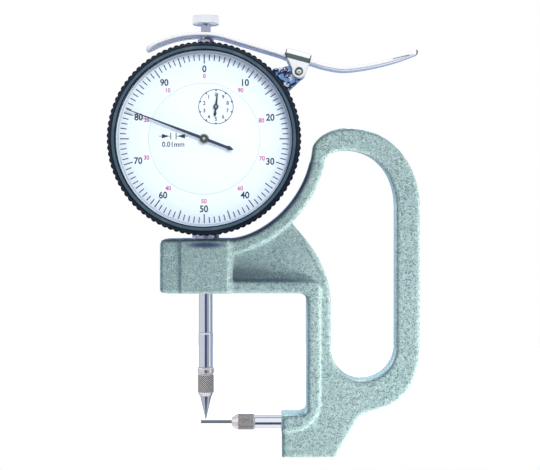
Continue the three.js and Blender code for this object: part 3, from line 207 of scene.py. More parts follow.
class Finish:
    """A material with one Principled shader, or a node tree that is given, and ways to add nodes to it."""

    def __init__(self, name, tree=None):
        if tree is None:
            self.material = bpy.data.materials.new(name)
            self.material.use_nodes = True
            tree = self.material.node_tree
            tree.nodes.clear()
            self.shader = tree.nodes.new("ShaderNodeBsdfPrincipled")
            output = tree.nodes.new("ShaderNodeOutputMaterial")
            tree.links.new(self.shader.outputs[0], output.inputs[0])
        self.tree = tree

    def node(self, kind, settings=None, inputs=None, output=0):
        """Adds a node, sets it up, then gives its sockets their values or links."""
        made = self.tree.nodes.new(kind)
        for key, value in (settings or {}).items():
            setattr(made, key, value)
        for key, value in (inputs or {}).items():
            self.feed(made.inputs[key], value)
        return Signal(self, made.outputs[output])

    def feed(self, socket, value):
        """Links a signal to an input socket, or sets the socket to a plain value."""
        if isinstance(value, Signal):
            self.tree.links.new(value.socket, socket)
        elif socket.type == "RGBA":
            socket.default_value = (*value[:3], 1)
        else:
            socket.default_value = value

    def set(self, **sockets):
        """Feeds the shader's sockets: base_color is Base Color, and so on."""
        for key, value in sockets.items():
            self.feed(self.shader.inputs[key.replace("_", " ").title().replace("Ior", "IOR")], value)
        return self

    def place(self):
        """Where a point of the surface is on the piece, in metres."""
        return self.node("ShaderNodeTexCoord", output=3)

    def split(self, vector):
        """The X, Y and Z of a vector, as three signals."""
        return [self.node("ShaderNodeSeparateXYZ", {}, {0: vector}, output=i) for i in range(3)]

    def noise(self, scale, detail=2.0, roughness=0.5, stretch=(1, 1, 1), shift=(0, 0, 0)):
        """Noise in object space, with its scale in waves per metre."""
        values = {"Vector": self.place(), "Scale": stretch, "Location": shift}
        mapped = self.node("ShaderNodeMapping", {}, values)
        values = {"Vector": mapped, "Scale": scale, "Detail": detail, "Roughness": roughness}
        return self.node("ShaderNodeTexNoise", {}, values)

    def mix(self, factor, first, second):
        """A colour that goes from the first to the second as the factor goes from 0 to 1."""
        settings = {"data_type": "RGBA", "clamp_factor": True}
        return self.node("ShaderNodeMix", settings, {0: factor, 6: first, 7: second}, output=2)

    def bump(self, height, distance, strength=1.0):
        """A bumpy normal from a height, with its distance in millimetres."""
        values = {"Height": height, "Distance": distance * MM, "Strength": strength}
        return self.node("ShaderNodeBump", {}, values)


def hammer_paint(colours):
    """Speckled paint: a mid coat with pale mottles, fine dark grains and a pebbled skin.

    Painted shade darkens it under the bezel, round the saddle, along the bar's top, in the web and in the
    pocket.
    """
    finish = Finish("hammer_paint")
    mottle = finish.noise(900, 3, 0.6)
    grain = finish.noise(2700, 1, 0.5, shift=(0.3, 0.1, 0.7))
    fine = finish.noise(4500, 1, 0.5, shift=(0.9, 0.4, 0.2))
    broad = finish.noise(60, 2, 0.5)
    coat = finish.mix(mottle.step(0.42, 0.66), colours.paint, colours.paint_pale)
    dark = grain.step(0.53, 0.62) * 0.74
    speck = fine.step(0.58, 0.68) * 0.3
    coat = finish.mix((dark + speck).least(1.0), coat, colours.paint_dark)
    tint = finish.mix(broad.step(0.3, 0.7) * 0.12, coat, (0.44, 0.53, 0.5))
    x, y, z = finish.split(finish.place())
    per_metre = 1000
    x, z = x * per_metre - SPINDLE_X, z * per_metre
    # Painted shadow of the bezel: a soft navy ellipse on the front of the block, under the bezel
    shade_x, shade_z, half_width, half_height = 0.2, 62.7, 7.6, 1.3
    spread = (((x - shade_x) / half_width) ** 2 + ((z - shade_z) / half_height) ** 2) ** 0.5
    painted_bezel_shadow = (1 - spread.step(0.25, 1.05)) * (0 - y * per_metre).step(4.5, 5.5)
    # Painted shade: navy along the saddle's concave edge and along the bar's top edge
    radius = ((x - SADDLE[0]) ** 2 + (z - SADDLE[1]) ** 2) ** 0.5
    edge = 1 - radius.step(SADDLE_RADIUS + 0.2, SADDLE_RADIUS + 1.7)
    edge = edge * z.step(62.0, 66.0) * (1 - z.step(84.0, 92.0))
    painted_bar_shade = 1 - abs(z - BAR_TOP).step(0.2, 0.9)
    painted_bar_shade = painted_bar_shade * x.step(6.8, 7.6) * (1 - x.step(24.0, 31.0)) * 0.45
    shade = (painted_bezel_shadow * 0.97).most(edge * 0.75).most(painted_bar_shade)
    tint = finish.mix(shade, tint, (0.022, 0.036, 0.12))
    # Painted shade: a faint blue-green darkening left of x 25 to 33 mm and above z 42 to 50 mm
    web = (1 - x.step(25.0, 33.0)) * z.step(42.0, 50.0) * 0.17
    tint = finish.mix(web, tint, (0.02, 0.08, 0.1))
    # Painted shade: a soft darkening in the lower left of the pocket, above the bar
    pocket = x.step(7.2, 8.2) * (1 - x.step(9.0, 28.0))
    pocket = pocket * (1 - z.step(53.0, 64.0)) * z.step(51.9, 52.6) * 0.6
    tint = finish.mix(pocket, tint, (0.09, 0.13, 0.16))
    height = mottle * 0.6 + (1 - dark) * 0.5
    return finish.set(
        base_color=tint,
        roughness=grain * 0.2 + 0.3,
        normal=finish.bump(height, 0.09, 0.55),
    ).material


def metal(name, colour, roughness, stretch=(1, 1, 1), grain=0.35, tint=0.12, plated=1.0):
    """Bare or plated metal with a fine machining grain and slightly uneven gloss."""
    finish = Finish(name)
    lines = finish.noise(2600, 3, 0.6, stretch=stretch)
    cloud = finish.noise(140, 2, 0.5, shift=(0.2, 0.5, 0.1))
    shaded = tuple(channel * (1 - tint) for channel in colour)
    return finish.set(
        base_color=finish.mix(lines * 0.5 + cloud * 0.5, colour, shaded),
        metallic=plated,
        roughness=lines * (roughness * 0.5) + cloud * (roughness * 0.3) + roughness * 0.6,
        normal=finish.bump(lines, 0.004, grain),
    ).material


def plastic(name, colour, roughness, pale=0.3, gloss=0.3):
    """Moulded or lacquered surface with a faint pebble and a few worn, paler spots."""
    finish = Finish(name)
    pebble = finish.noise(2400, 2, 0.5)
    cloud = finish.noise(220, 3, 0.55)
    light = tuple(channel + (0.5 - channel) * 0.08 * pale for channel in colour)
    return finish.set(
        base_color=finish.mix(cloud.step(0.45, 0.75), colour, light),
        roughness=pebble * 0.12 + roughness,
        normal=finish.bump(pebble, 0.01, 0.3),
        specular_ior_level=gloss,
    ).material


def enamel(name, colour):
    """Dial enamel: nearly even, with a faint cloud, a fine orange peel and a faint blue painted glow that
    stands in for light on it.
    """
    finish = Finish(name)
    cloud = finish.noise(90, 2, 0.5)
    peel = finish.noise(1500, 1, 0.5)
    shaded = tuple(channel * 0.965 for channel in colour)
    return finish.set(
        base_color=finish.mix(cloud, colour, shaded),
        roughness=peel * 0.1 + 0.42,
        normal=finish.bump(peel, 0.002, 0.3),
        # Painted light: a faint blue-white glow that lifts the dial and tints its shade blue
        emission_color=finish.mix(cloud, (0.45, 0.62, 1.0), (0.43, 0.61, 1.0)),
        emission_strength=0.18,
    ).material


def crystal_glass(name, colour, body=0.012):
    """Clear pane: see-through face on, with more reflection towards its edge."""
    finish = Finish(name)
    rim = finish.node("ShaderNodeLayerWeight", {}, {"Blend": 0.3}, output=0)
    haze = finish.noise(120, 2, 0.5)
    return finish.set(
        base_color=colour,
        roughness=haze * 0.03 + 0.02,
        alpha=(rim * 0.3 + haze * 0.01 + body).least(1.0),
    ).material


def ruby_glass(colours):
    """Synthetic ruby with a deep, slightly cloudy red."""
    finish = Finish("ruby_bearing")
    cloud = finish.noise(1200, 2, 0.5)
    deep = tuple(channel * 0.5 for channel in colours.ruby)
    finish.set(base_color=finish.mix(cloud, colours.ruby, deep), roughness=cloud * 0.05 + 0.05)
    return finish.set(transmission_weight=0.25).material


def knurl(name, axis, low):
    """Steel with a diamond knurl: painted highlights on the ridges and painted shade in the valleys, where
    the two sets of grooves cross.

    The grooves are |sin(count u / 2 +- pi (h - low) / pitch)|, as in the relief of the mesh.
    """
    finish = Finish(name)
    x, y, z = finish.split(finish.place())
    across, along = (x - SPINDLE_X * MM, z) if axis == "z" else (y, x - SPINDLE_X * MM)
    upright = y if axis == "z" else z - ANVIL_Z * MM
    angle = finish.node("ShaderNodeMath", {"operation": "ARCTAN2"}, {0: upright, 1: across})
    turn = (along - low * MM) * (math.pi / (KNURL_PITCH * MM))
    slants = [angle * (KNURL_COUNT / 2) + turn * side for side in (1, -1)]
    waves = [finish.node("ShaderNodeMath", {"operation": "SINE"}, {0: slant}) for slant in slants]
    ridge = abs(waves[0]).least(abs(waves[1]))
    grain = finish.noise(3000, 2, 0.5)
    return finish.set(
        # Painted light: near-white on the ridges and near-black in the valleys
        base_color=finish.mix(ridge.step(0.3, 0.85), (0.02, 0.022, 0.025), (0.95, 0.92, 0.9)),
        metallic=ridge.step(0.0, 0.4) * 0.6 + 0.4,
        roughness=grain * 0.15 + 0.2,
        normal=finish.bump(ridge, 0.05, 0.4),
    ).material


def lug_metal(name):
    """Rough-machined plate with a painted blue reflection, near-black in patches, and a few bright painted
    glints.
    """
    finish = Finish(name)
    fleck_and_glint = finish.noise(900, 2, 0.6)
    deep = finish.noise(640, 1, 0.5, shift=(0.4, 0.8, 0.1))
    # Painted reflection: blue, turning near-black in patches
    coat = finish.mix(deep.step(0.44, 0.52), (0.2, 0.38, 0.7), (0.01, 0.02, 0.08))
    return finish.set(
        # Painted glints: small pale blue-white spots
        base_color=finish.mix(fleck_and_glint.step(0.54, 0.62), coat, (0.85, 0.92, 1.0)),
        metallic=fleck_and_glint * 0.4 + 0.3,
        roughness=fleck_and_glint * 0.3 + 0.3,
        normal=finish.bump(fleck_and_glint, 0.08, 0.6),
    ).material


finishes = {}


def make_finishes(colours):
    """The gauge's finishes, by the name that the pieces ask for."""
    ring = (1, 0.08, 1)
    finishes.update(
        casting=hammer_paint(colours),
        chrome=metal("bright_chrome", colours.chrome, 0.07, grain=0.1, tint=0.06),
        turned_z=metal("turned_chrome", colours.chrome, 0.1, stretch=(0.3, 0.3, 3), grain=0.16),
        turned_y=metal("turned_dial_chrome", colours.chrome, 0.16, stretch=ring, grain=0.2),
        steel=metal("turned_steel", colours.steel, 0.24, stretch=(0.4, 0.4, 2), grain=0.4),
        knurled=knurl("knurled_holder", "z", HOLDER_KNURL[0]),
        knurled_anvil=knurl("knurled_chuck", "x", CHUCK_KNURL[0]),
        nose=metal("turned_nose", (0.9, 0.86, 0.85), 0.2, grain=0.2),
        lug=lug_metal("lug_plate"),
        lever=metal("lever_chrome", (0.98, 0.985, 1.0), 0.24, grain=0.1, tint=0.02, plated=0.6),
        cone=metal("ground_cone", (0.62, 0.68, 0.73), 0.14, stretch=(0.3, 0.3, 3), grain=0.2),
        # Painted reflection: a dark green-grey for the saddle's folds and the pin's ring
        fold=metal("painted_fold_reflection", (0.16, 0.22, 0.19), 0.4, grain=0.3),
        # Painted reflection: near-black blue for the saddle's ends, the lever's thumb end and a strip along
        # its lower edge
        fold_end=metal("dark_fold_end", (0.02, 0.05, 0.1), 0.4, grain=0.2),
        seat=metal("pointer_seat", (0.7, 0.71, 0.64), 0.4, grain=0.2),
        # Painted shade: darker bluish steel for the stem under the bezel, the rod's bush and the knob's neck
        stem=metal("painted_shade_stem", (0.4, 0.43, 0.54), 0.16, stretch=(0.3, 0.3, 3), grain=0.2),
        cover=metal("satin_cover", (0.82, 0.83, 0.84), 0.36, stretch=ring, grain=0.25, plated=0.5),
        burnished=plastic("burnished_hub", (0.02, 0.024, 0.022), 0.3, pale=1.0),
        # Painted shade: blue for two thin rings near the dial's wall
        wall_line=plastic("dial_wall_shade", (0.12, 0.2, 0.42), 0.5, pale=0.2, gloss=0.05),
        dark_steel=metal("hardened_steel", colours.dark_steel, 0.26, stretch=(2, 0.5, 0.5), grain=0.3),
        brass=metal("movement_brass", colours.brass, 0.24, grain=0.4, tint=0.2),
        bezel=plastic("bezel_grip", colours.bezel, 0.4, pale=0.2, gloss=0.08),
        # Painted sheen: dark teal on the bezel's front face, standing in for its reflection
        bezel_face=plastic("bezel_face_painted_sheen", colours.bezel_face, 0.4, pale=1.2, gloss=0.2),
        dial=enamel("dial_enamel", colours.dial),
        ink=plastic("dark_ink", colours.ink, 0.5, pale=0.05, gloss=0.05),
        red_ink=plastic("red_ink", colours.red_ink, 0.5, pale=0.2, gloss=0.05),
        groove=plastic("dial_joint_shade", (0.4, 0.5, 0.53), 0.5),
        pointer=plastic("pointer_lacquer", colours.ink, 0.5, pale=0.05, gloss=0.05),
        crystal=crystal_glass("dial_crystal", (0.95, 0.98, 1.0)),
        ruby=ruby_glass(colours),
    )


# Meshes


def add_piece(name, points, faces, finish, body=BODY, slot=None, nodes=(), smooth=38):
    """A mesh from points in millimetres and lists of faces, riding on a body."""
    place = np.asarray(points, float) + np.array([SPINDLE_X, 0, 0])
    mesh = bpy.data.meshes.new(name)
    groups = [np.asarray(group, np.int64) for group in faces if len(group)]
    sizes = np.concatenate([np.full(len(group), group.shape[1]) for group in groups])
    corners = np.concatenate([group.ravel() for group in groups])
    mesh.vertices.add(len(place))
    mesh.vertices.foreach_set("co", (place * MM).astype(np.float32).ravel())
    mesh.loops.add(len(corners))
    mesh.loops.foreach_set("vertex_index", corners.astype(np.int32))
    mesh.polygons.add(len(sizes))
    mesh.polygons.foreach_set("loop_start", np.concatenate([[0], np.cumsum(sizes)[:-1]]).astype(np.int32))
    mesh.update(calc_edges=True)
    piece = bpy.data.objects.new(name, mesh)
    bpy.context.scene.collection.objects.link(piece)
    tidy_mesh(mesh)
    return dress(piece, finish, body, nodes, smooth)


def dress(piece, finish, body, nodes=(), smooth=38):
    """Smooth shading with sharp creases, the finish, the body and the CAD nodes it stands for."""
    piece.data.materials.clear()
    piece.data.materials.append(finishes[finish])
    piece.data.shade_smooth()
    piece.data.set_sharp_from_angle(angle=math.radians(smooth))
    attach(piece, body)
    if nodes:
        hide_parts(*nodes)
    return piece


def tidy_mesh(mesh, outward=True):
    """Merges the points that meet at seams and poles, and turns the faces outwards."""
    work = bmesh.new()
    work.from_mesh(mesh)
    bmesh.ops.remove_doubles(work, verts=work.verts, dist=1e-7)
    bmesh.ops.dissolve_degenerate(work, edges=work.edges, dist=1e-8)
    if outward:
        bmesh.ops.recalc_face_normals(work, faces=work.faces)
    work.to_mesh(mesh)
    work.free()


def bend(start, corner, end, count):
    """Points of the curve (1-t)^2 start + 2t(1-t) corner + t^2 end, with t from 0 to 1."""
    t = np.linspace(0, 1, count)[:, None]
    return (1 - t) ** 2 * start + 2 * t * (1 - t) * corner + t**2 * end


def rounded(profile, radius, steps=4):
    """A profile with each inner corner replaced by a bend that leaves the sides at most a radius away."""
    profile = np.asarray(profile, float)
    parts = [profile[:1]]
    for before, corner, after in zip(profile[:-2], profile[1:-1], profile[2:]):
        reach_in = min(radius, np.linalg.norm(before - corner) * 0.45)
        reach_out = min(radius, np.linalg.norm(after - corner) * 0.45)
        a = corner + (before - corner) * reach_in / max(np.linalg.norm(before - corner), 1e-9)
        b = corner + (after - corner) * reach_out / max(np.linalg.norm(after - corner), 1e-9)
        parts.append(bend(a, corner, b, steps + 1))
    parts.append(profile[-1:])
    return np.concatenate(parts)


def even_profile(profile, spacing):
    """A profile with points no further apart than a spacing."""
    profile = np.asarray(profile, float)
    length = np.r_[0, np.cumsum(np.linalg.norm(np.diff(profile, axis=0), axis=1))]
    spans = list(zip(length[:-1], length[1:]))
    counts = [max(2, int(math.ceil((b - a) / spacing)) + 1) for a, b in spans]
    extra = [np.linspace(a, b, count) for (a, b), count in zip(spans, counts)]
    places = np.unique(np.concatenate(extra).round(6))
    return np.stack([np.interp(places, length, profile[:, column]) for column in (0, 1)], -1)


def rod(radius, start, end):
    """The profile of a plain rod or disc."""
    return [(0, start), (radius, start), (radius, end), (0, end)]


def washer(inner, outer, front, back):
    """The closed profile of a flat ring."""
    return [(inner, front), (outer, front), (outer, back), (inner, back), (inner, front)]


def grid_faces(rows, columns, wrap_rows):
    """Quads between neighbouring points of a grid whose columns join round."""
    row = np.arange(rows if wrap_rows else rows - 1)[:, None]
    column = np.arange(columns)[None, :]
    below = (row + 1) % rows
    beside = (column + 1) % columns
    corners = [(row, column), (row, beside), (below, beside), (below, column)]
    return np.stack([line * columns + place for line, place in corners], -1).reshape(-1, 4)


def lathe(name, profile, finish, axis="z", centre=(0, 0, 0), around=96, relief=None, **words):
    """A profile of (radius, height) turned about an axis.

    point(u, v) = centre + r(v) (cos u, sin u) across the axis + h(v) along it. A relief adds to r(u, v).
    A profile that starts and ends off the axis is a closed ring.
    """
    profile = np.asarray(profile, float)
    angle = np.linspace(0, 2 * math.pi, around, endpoint=False)
    radius = profile[:, :1] + 0 * angle
    height = profile[:, 1:2] + 0 * angle
    if relief is not None:
        radius = radius + relief(radius, height, angle[None, :] + 0 * height)
    local = np.stack([radius * np.cos(angle), radius * np.sin(angle), height], -1)
    ring = profile[0, 0] > 0 and profile[-1, 0] > 0
    points = local.reshape(-1, 3) @ AXES[axis] + np.asarray(centre, float)
    return add_piece(name, points, [grid_faces(len(profile), around, ring)], finish, **words)


def prisms(outlines, front, back):
    """Points and faces of flat-ended prisms: outlines[m, k] are corners (x, z), thick from front to back."""
    outlines = np.asarray(outlines, float)
    many, corners = outlines.shape[:2]
    levels = np.array([front, back], float)
    points = np.zeros((many, 2, corners, 3))
    points[..., 0] = outlines[:, None, :, 0]
    points[..., 1] = levels[None, :, None]
    points[..., 2] = outlines[:, None, :, 1]
    start = np.arange(many)[:, None] * 2 * corners
    index = np.arange(corners)[None, :]
    after = (index + 1) % corners
    caps = np.concatenate([start + index, start + corners + index[:, ::-1]])
    sides = np.stack([start + index, start + corners + index, start + corners + after, start + after], -1)
    return points.reshape(-1, 3), [caps, sides.reshape(-1, 4)]


def evaluated_mesh(piece):
    """The piece's mesh with its modifiers applied."""
    graph = bpy.context.evaluated_depsgraph_get()
    return bpy.data.meshes.new_from_object(piece.evaluated_get(graph), depsgraph=graph)


def apply_modifiers(piece, smooth=38):
    """Puts the mesh with its modifiers applied in the old one's place, shaded as dress does."""
    old = piece.data
    new = evaluated_mesh(piece)
    piece.modifiers.clear()
    piece.data = new
    bpy.data.meshes.remove(old)
    tidy_mesh(new, outward=False)
    new.shade_smooth()
    new.set_sharp_from_angle(angle=math.radians(smooth))


def cut(piece, points, faces):
    """Takes the solid of points and faces away from the piece."""
    mesh = bpy.data.meshes.new("cutter")
    place = (np.asarray(points, float) + np.array([SPINDLE_X, 0, 0])) * MM
    mesh.from_pydata(place.tolist(), [], [face for group in faces for face in group.tolist()])
    tidy_mesh(mesh)
    cutter = bpy.data.objects.new("cutter", mesh)
    bpy.context.scene.collection.objects.link(cutter)
    modifier = piece.modifiers.new("cut", "BOOLEAN")
    modifier.operation = "DIFFERENCE"
    modifier.solver = "EXACT"
    modifier.object = cutter
    apply_modifiers(piece)
    bpy.data.objects.remove(cutter)
    bpy.data.meshes.remove(mesh)


def rod_cutter(axis, radius, start, end, centre=(0, 0, 0), around=32):
    """Points and faces of a plain rod along an axis."""
    angle = np.linspace(0, 2 * math.pi, around, endpoint=False)
    ring = np.stack([radius * np.cos(angle), radius * np.sin(angle), 0 * angle], -1)
    rings = np.concatenate([ring + [0, 0, place] for place in (start, end)])
    points = rings @ AXES[axis] + np.asarray(centre, float)
    index = np.arange(around)
    after = (index + 1) % around
    sides = np.stack([index, after, after + around, index + around], -1)
    return points, [index[None, ::-1], index[None] + around, sides]


# Distance fields


def edge_distance(points, x, z):
    """Distance in the plane from each place to the nearest piece of a line of points."""
    best = np.full(np.broadcast(x, z).shape, np.inf)
    for (ax, az), (bx, bz) in zip(points[:-1], points[1:]):
        dx, dz = bx - ax, bz - az
        length = max(dx * dx + dz * dz, 1e-12)
        share = np.clip(((x - ax) * dx + (z - az) * dz) / length, 0, 1)
        best = np.minimum(best, (x - ax - share * dx) ** 2 + (z - az - share * dz) ** 2)
    return np.sqrt(best)


def outline_distance(points, x, z):
    """Distance to a closed outline, less than zero inside it."""
    closed = np.concatenate([points, points[:1]])
    inside = np.zeros(np.broadcast(x, z).shape, bool)
    for (ax, az), (bx, bz) in zip(closed[:-1], closed[1:]):
        if az != bz:
            crosses = ((az > z) != (bz > z)) & (x < (bx - ax) * (z - az) / (bz - az) + ax)
            inside ^= crosses
    return np.where(inside, -1, 1) * edge_distance(closed, x, z)


def slab(distance, y, half, edge):
    """An outline's distance given thickness, with rounded edges.

    With a = distance + edge and b = |y| - half + edge it is min(max(a, b), 0) + |max((a, b), 0)| - edge.
    """
    across = np.abs(y) - half + edge
    along = distance + edge
    corner = np.hypot(np.maximum(across, 0), np.maximum(along, 0))
    return np.minimum(np.maximum(across, along), 0) + corner - edge


def join(first, second, fillet):
    """Smooth union of two distances: their least, eased over the fillet."""
    share = np.clip(0.5 + 0.5 * (second - first) / fillet, 0, 1)
    return second + (first - second) * share - fillet * share * (1 - share)


def carve(first, second, fillet):
    """Smooth cut of the second distance out of the first."""
    return -join(-first, second, fillet)


def grid_axes(low, high, step):
    """Three arrays of places that span a box with a margin, for a field of distances."""
    axes = [np.arange(a - 2 * step, b + 3 * step, step) for a, b in zip(low, high)]
    return axes[0][:, None, None], axes[1][None, :, None], axes[2][None, None, :]


def surface_net(field, axes, step):
    """The skin where a field of distances is zero.

    Each cell that the skin crosses gets one point, the mean of the crossings on the cell's edges, and each
    grid edge that it crosses gets the quad of the four cells round that edge, facing the positive side.
    """
    low = np.array([axis.ravel()[0] for axis in axes])
    inside = field < 0
    cells = tuple(size - 1 for size in field.shape)
    count = np.zeros(cells, np.int8)
    for i, j, k in np.ndindex(2, 2, 2):
        count += inside[i : i + cells[0], j : j + cells[1], k : k + cells[2]]
    crossed = (count > 0) & (count < 8)
    cell = np.argwhere(crossed)
    number = np.full(cells, -1, np.int64)
    number[crossed] = np.arange(len(cell))
    total = np.zeros((len(cell), 3))
    hits = np.zeros((len(cell), 1))
    for axis in range(3):
        for first, second in np.ndindex(2, 2):
            start = np.insert(np.array([first, second]), axis, 0)
            end = np.insert(np.array([first, second]), axis, 1)
            a = field[tuple((cell + start).T)]
            b = field[tuple((cell + end).T)]
            crosses = (a < 0) != (b < 0)
            share = np.where(crosses, a / np.where(crosses, a - b, 1), 0)[:, None]
            total += crosses[:, None] * (start + share * (end - start))
            hits += crosses[:, None]
    points = low + step * (cell + total / hits)
    quads = []
    for axis in range(3):
        beside, beyond = (axis + 1) % 3, (axis + 2) % 3
        start = inside[tuple(slice(0, -1) if i == axis else slice(None) for i in range(3))]
        end = inside[tuple(slice(1, None) if i == axis else slice(None) for i in range(3))]
        edge = np.argwhere(start != end)
        shifts = [(0, 0), (1, 0), (1, 1), (0, 1)]
        corners = []
        for back_one, back_two in shifts:
            place = edge.copy()
            place[:, beside] -= back_one
            place[:, beyond] -= back_two
            corners.append(number[tuple(place.T)])
        quad = np.stack(corners, -1)
        leaving = start[tuple(edge.T)]
        quads.append(np.where(leaving[:, None], quad, quad[:, ::-1]))
    return points, [np.concatenate(quads)]


def settle(points, field, axes, step, rounds=2):
    """Moves points onto the zero of the field.

    Each round takes p to p - f g / |g|^2, with the field f and its slope g read between the grid's places.
    """
    low = np.array([axis.ravel()[0] for axis in axes])
    slopes = np.gradient(field, step)
    for _ in range(rounds):
        where = (points - low) / step
        cell = np.clip(np.floor(where).astype(int), 0, np.array(field.shape) - 2)
        share = where - cell
        read = []
        for layer in (field, *slopes):
            value = 0
            for i, j, k in np.ndindex(2, 2, 2):
                weight = np.prod(np.where([i, j, k], share, 1 - share), axis=1)
                value = value + weight * layer[tuple((cell + [i, j, k]).T)]
            read.append(value)
        slope = np.stack(read[1:], -1)
        length = np.maximum((slope**2).sum(1), 0.05)
        points = points - np.clip(read[0] / length, -step / 2, step / 2)[:, None] * slope
    return points


# Outlines of the casting


# BLOCK and GRIP hold left, right, bottom and top, BOSS holds left and right, and the other pairs are points
THROAT = 30
SADDLE = (0.5, 94.4)
SADDLE_RADIUS = 31.4
LOOP_RADIUS = 35.35
BLOCK = (-13.25, 7.0, 48.5, 64.2)
BOSS = (-7.3, 6.9)
ARM_LEFT = 22.56
ARM_TOP = 12.8
FOOT_RIGHT = 38.2
GRIP = (56.1, 63.2, 33.0, 73.5)
HANDLE_TOP = (42.0, 97.1)
BAR_TOP = 52.2
CLAMP_SCREW_Z = 56.5
BLEND_ANGLE = -62
RIB_RIGHT = 33.9
RIB_START = math.degrees(math.acos((BLOCK[1] - SADDLE[0]) / LOOP_RADIUS))


def arc(centre, radius, start, end, steps=40):
    """Points round a centre from one angle to another, in degrees."""
    angle = np.radians(np.linspace(start, end, steps))
    return np.stack([centre[0] + radius * np.cos(angle), centre[1] + radius * np.sin(angle)], -1)


def curve_in_box(start, low, high, shares, end, steps=28):
    """A cubic curve whose two controls are shares of the box between two corners."""
    low, high = np.asarray(low, float), np.asarray(high, float)
    first = low + (high - low) * shares[:2]
    second = low + (high - low) * shares[2:]
    t = np.linspace(0, 1, steps)[:, None]
    start, end = np.asarray(start, float), np.asarray(end, float)
    return (1 - t) ** 3 * start + 3 * t * (1 - t) ** 2 * first + 3 * t**2 * (1 - t) * second + t**3 * end


def line_of(*parts):
    """One array of points from single points and arrays, without repeats."""
    points = np.concatenate([np.atleast_2d(np.asarray(part, float)) for part in parts])
    keep = np.r_[True, np.linalg.norm(np.diff(points, axis=0), axis=1) > 1e-3]
    return points[keep]


def saddle_to_block(start):
    """The saddle's arc from an angle, eased into the flat top of the clamp block."""
    curve = arc(SADDLE, SADDLE_RADIUS, start, BLEND_ANGLE, 60)
    reach = (curve[-1, 1] - BLOCK[3]) * math.tan(math.radians(-BLEND_ANGLE))
    corner = np.array([curve[-1, 0] - reach, BLOCK[3]])
    return line_of(curve, bend(curve[-1], corner, corner - [reach, 0], 10))


def throat_line():
    """The throat, from the bar's underside down to the arm's top."""
    upper = arc((THROAT - 2.2, BLOCK[2] - 2.2), 2.2, 90, 0, 12)
    lower = arc((THROAT - 2.2, ARM_TOP + 2.2), 2.2, 0, -90, 12)
    return line_of(upper, lower, (ARM_LEFT, ARM_TOP))


def casting_outline():
    """The outside of the casting's body, from the middle of the clamp block."""
    low, high = np.array([FOOT_RIGHT, 0]), np.array([GRIP[1], GRIP[2]])
    heel = low + (high - low) * [0.228, 0.3]
    bulge = low + (high - low) * [0.532, 0.436]
    crown_low = (HANDLE_TOP[0], GRIP[3])
    crown_high = (GRIP[1], HANDLE_TOP[1])
    saddle = saddle_to_block(-5.3)
    return line_of(
        (0, BLOCK[2]),
        throat_line(),
        (ARM_LEFT, 0),
        (FOOT_RIGHT, 0),
        curve_in_box(heel, low, high, [0.296, 0.391, 0.384, 0.406], bulge),
        curve_in_box(bulge, low, high, [0.812, 0.494, 1, 0.682], high),
        curve_in_box((GRIP[1], GRIP[3]), crown_low, crown_high, [1, 0.56, 0.59, 1], HANDLE_TOP),
        curve_in_box(HANDLE_TOP, saddle[0], HANDLE_TOP, [0.609, 1, 0.12, 0.625], saddle[0]),
        saddle,
        (0, BLOCK[3]),
    )


def finger_loop():
    """The opening that the fingers go through."""
    left, bottom, bottom_x, top, top_x, web = 37, 22.7, 46.1, 90.5, 41.4, 44.7
    curve = arc(SADDLE, LOOP_RADIUS, -13.7, -43.6, 30)
    corner = arc(SADDLE, LOOP_RADIUS, -45.6, -45.6, 1)[0]
    start = corner + np.array([1.2, -1.2]) * math.sqrt(0.5)
    low, high = (left, bottom), (bottom_x, GRIP[2])
    return line_of(
        curve,
        bend(curve[-1], corner, start, 8),
        curve_in_box(start, corner, (left, web), [0.514, 0.269, 1, 0.559], (left, web)),
        curve_in_box((left, GRIP[2]), low, high, [0, 0.49, 0.363, 0], (bottom_x, bottom)),
        curve_in_box((bottom_x, bottom), (bottom_x, bottom), GRIP[::2], [0.59, 0, 1, 0.46], GRIP[::2]),
        curve_in_box(GRIP[::3], (top_x, GRIP[3]), (GRIP[0], top), [1, 0.576, 0.62, 1], (top_x, top)),
        curve_in_box((top_x, top), curve[0], (top_x, top), [0.48, 1, 0.055, 0.73], curve[0]),
    )


def raised_outline():
    """The raised face: bar, saddle rib, throat rib and arm."""
    return line_of(
        (BLOCK[0] + 2, BLOCK[2]),
        throat_line(),
        (ARM_LEFT, ARM_TOP - 5),
        arc((RIB_RIGHT - 9, ARM_TOP + 4), 9, -90, 0, 24),
        arc((RIB_RIGHT - 3, BAR_TOP - 3), 3, 0, 90, 12),
        (BLOCK[1], BAR_TOP),
        arc(SADDLE, LOOP_RADIUS, -RIB_START, -13.7, 60),
        saddle_to_block(-13.7),
        (BLOCK[0] + 2, BLOCK[3]),
    )


def pocket_outline():
    """The pocket between the block, the bar and the saddle rib."""
    saddle_rib = arc(SADDLE, LOOP_RADIUS, -45.6, -RIB_START, 40)
    return line_of((BLOCK[1], BAR_TOP), (RIB_RIGHT, BAR_TOP), saddle_rib)


def box_distance(x, z, low_x, high_x, low_z, high_z):
    """Distance in the plane to an upright box."""
    a = np.abs(x - (low_x + high_x) / 2) - (high_x - low_x) / 2
    b = np.abs(z - (low_z + high_z) / 2) - (high_z - low_z) / 2
    return np.hypot(np.maximum(a, 0), np.maximum(b, 0)) + np.minimum(np.maximum(a, b), 0)


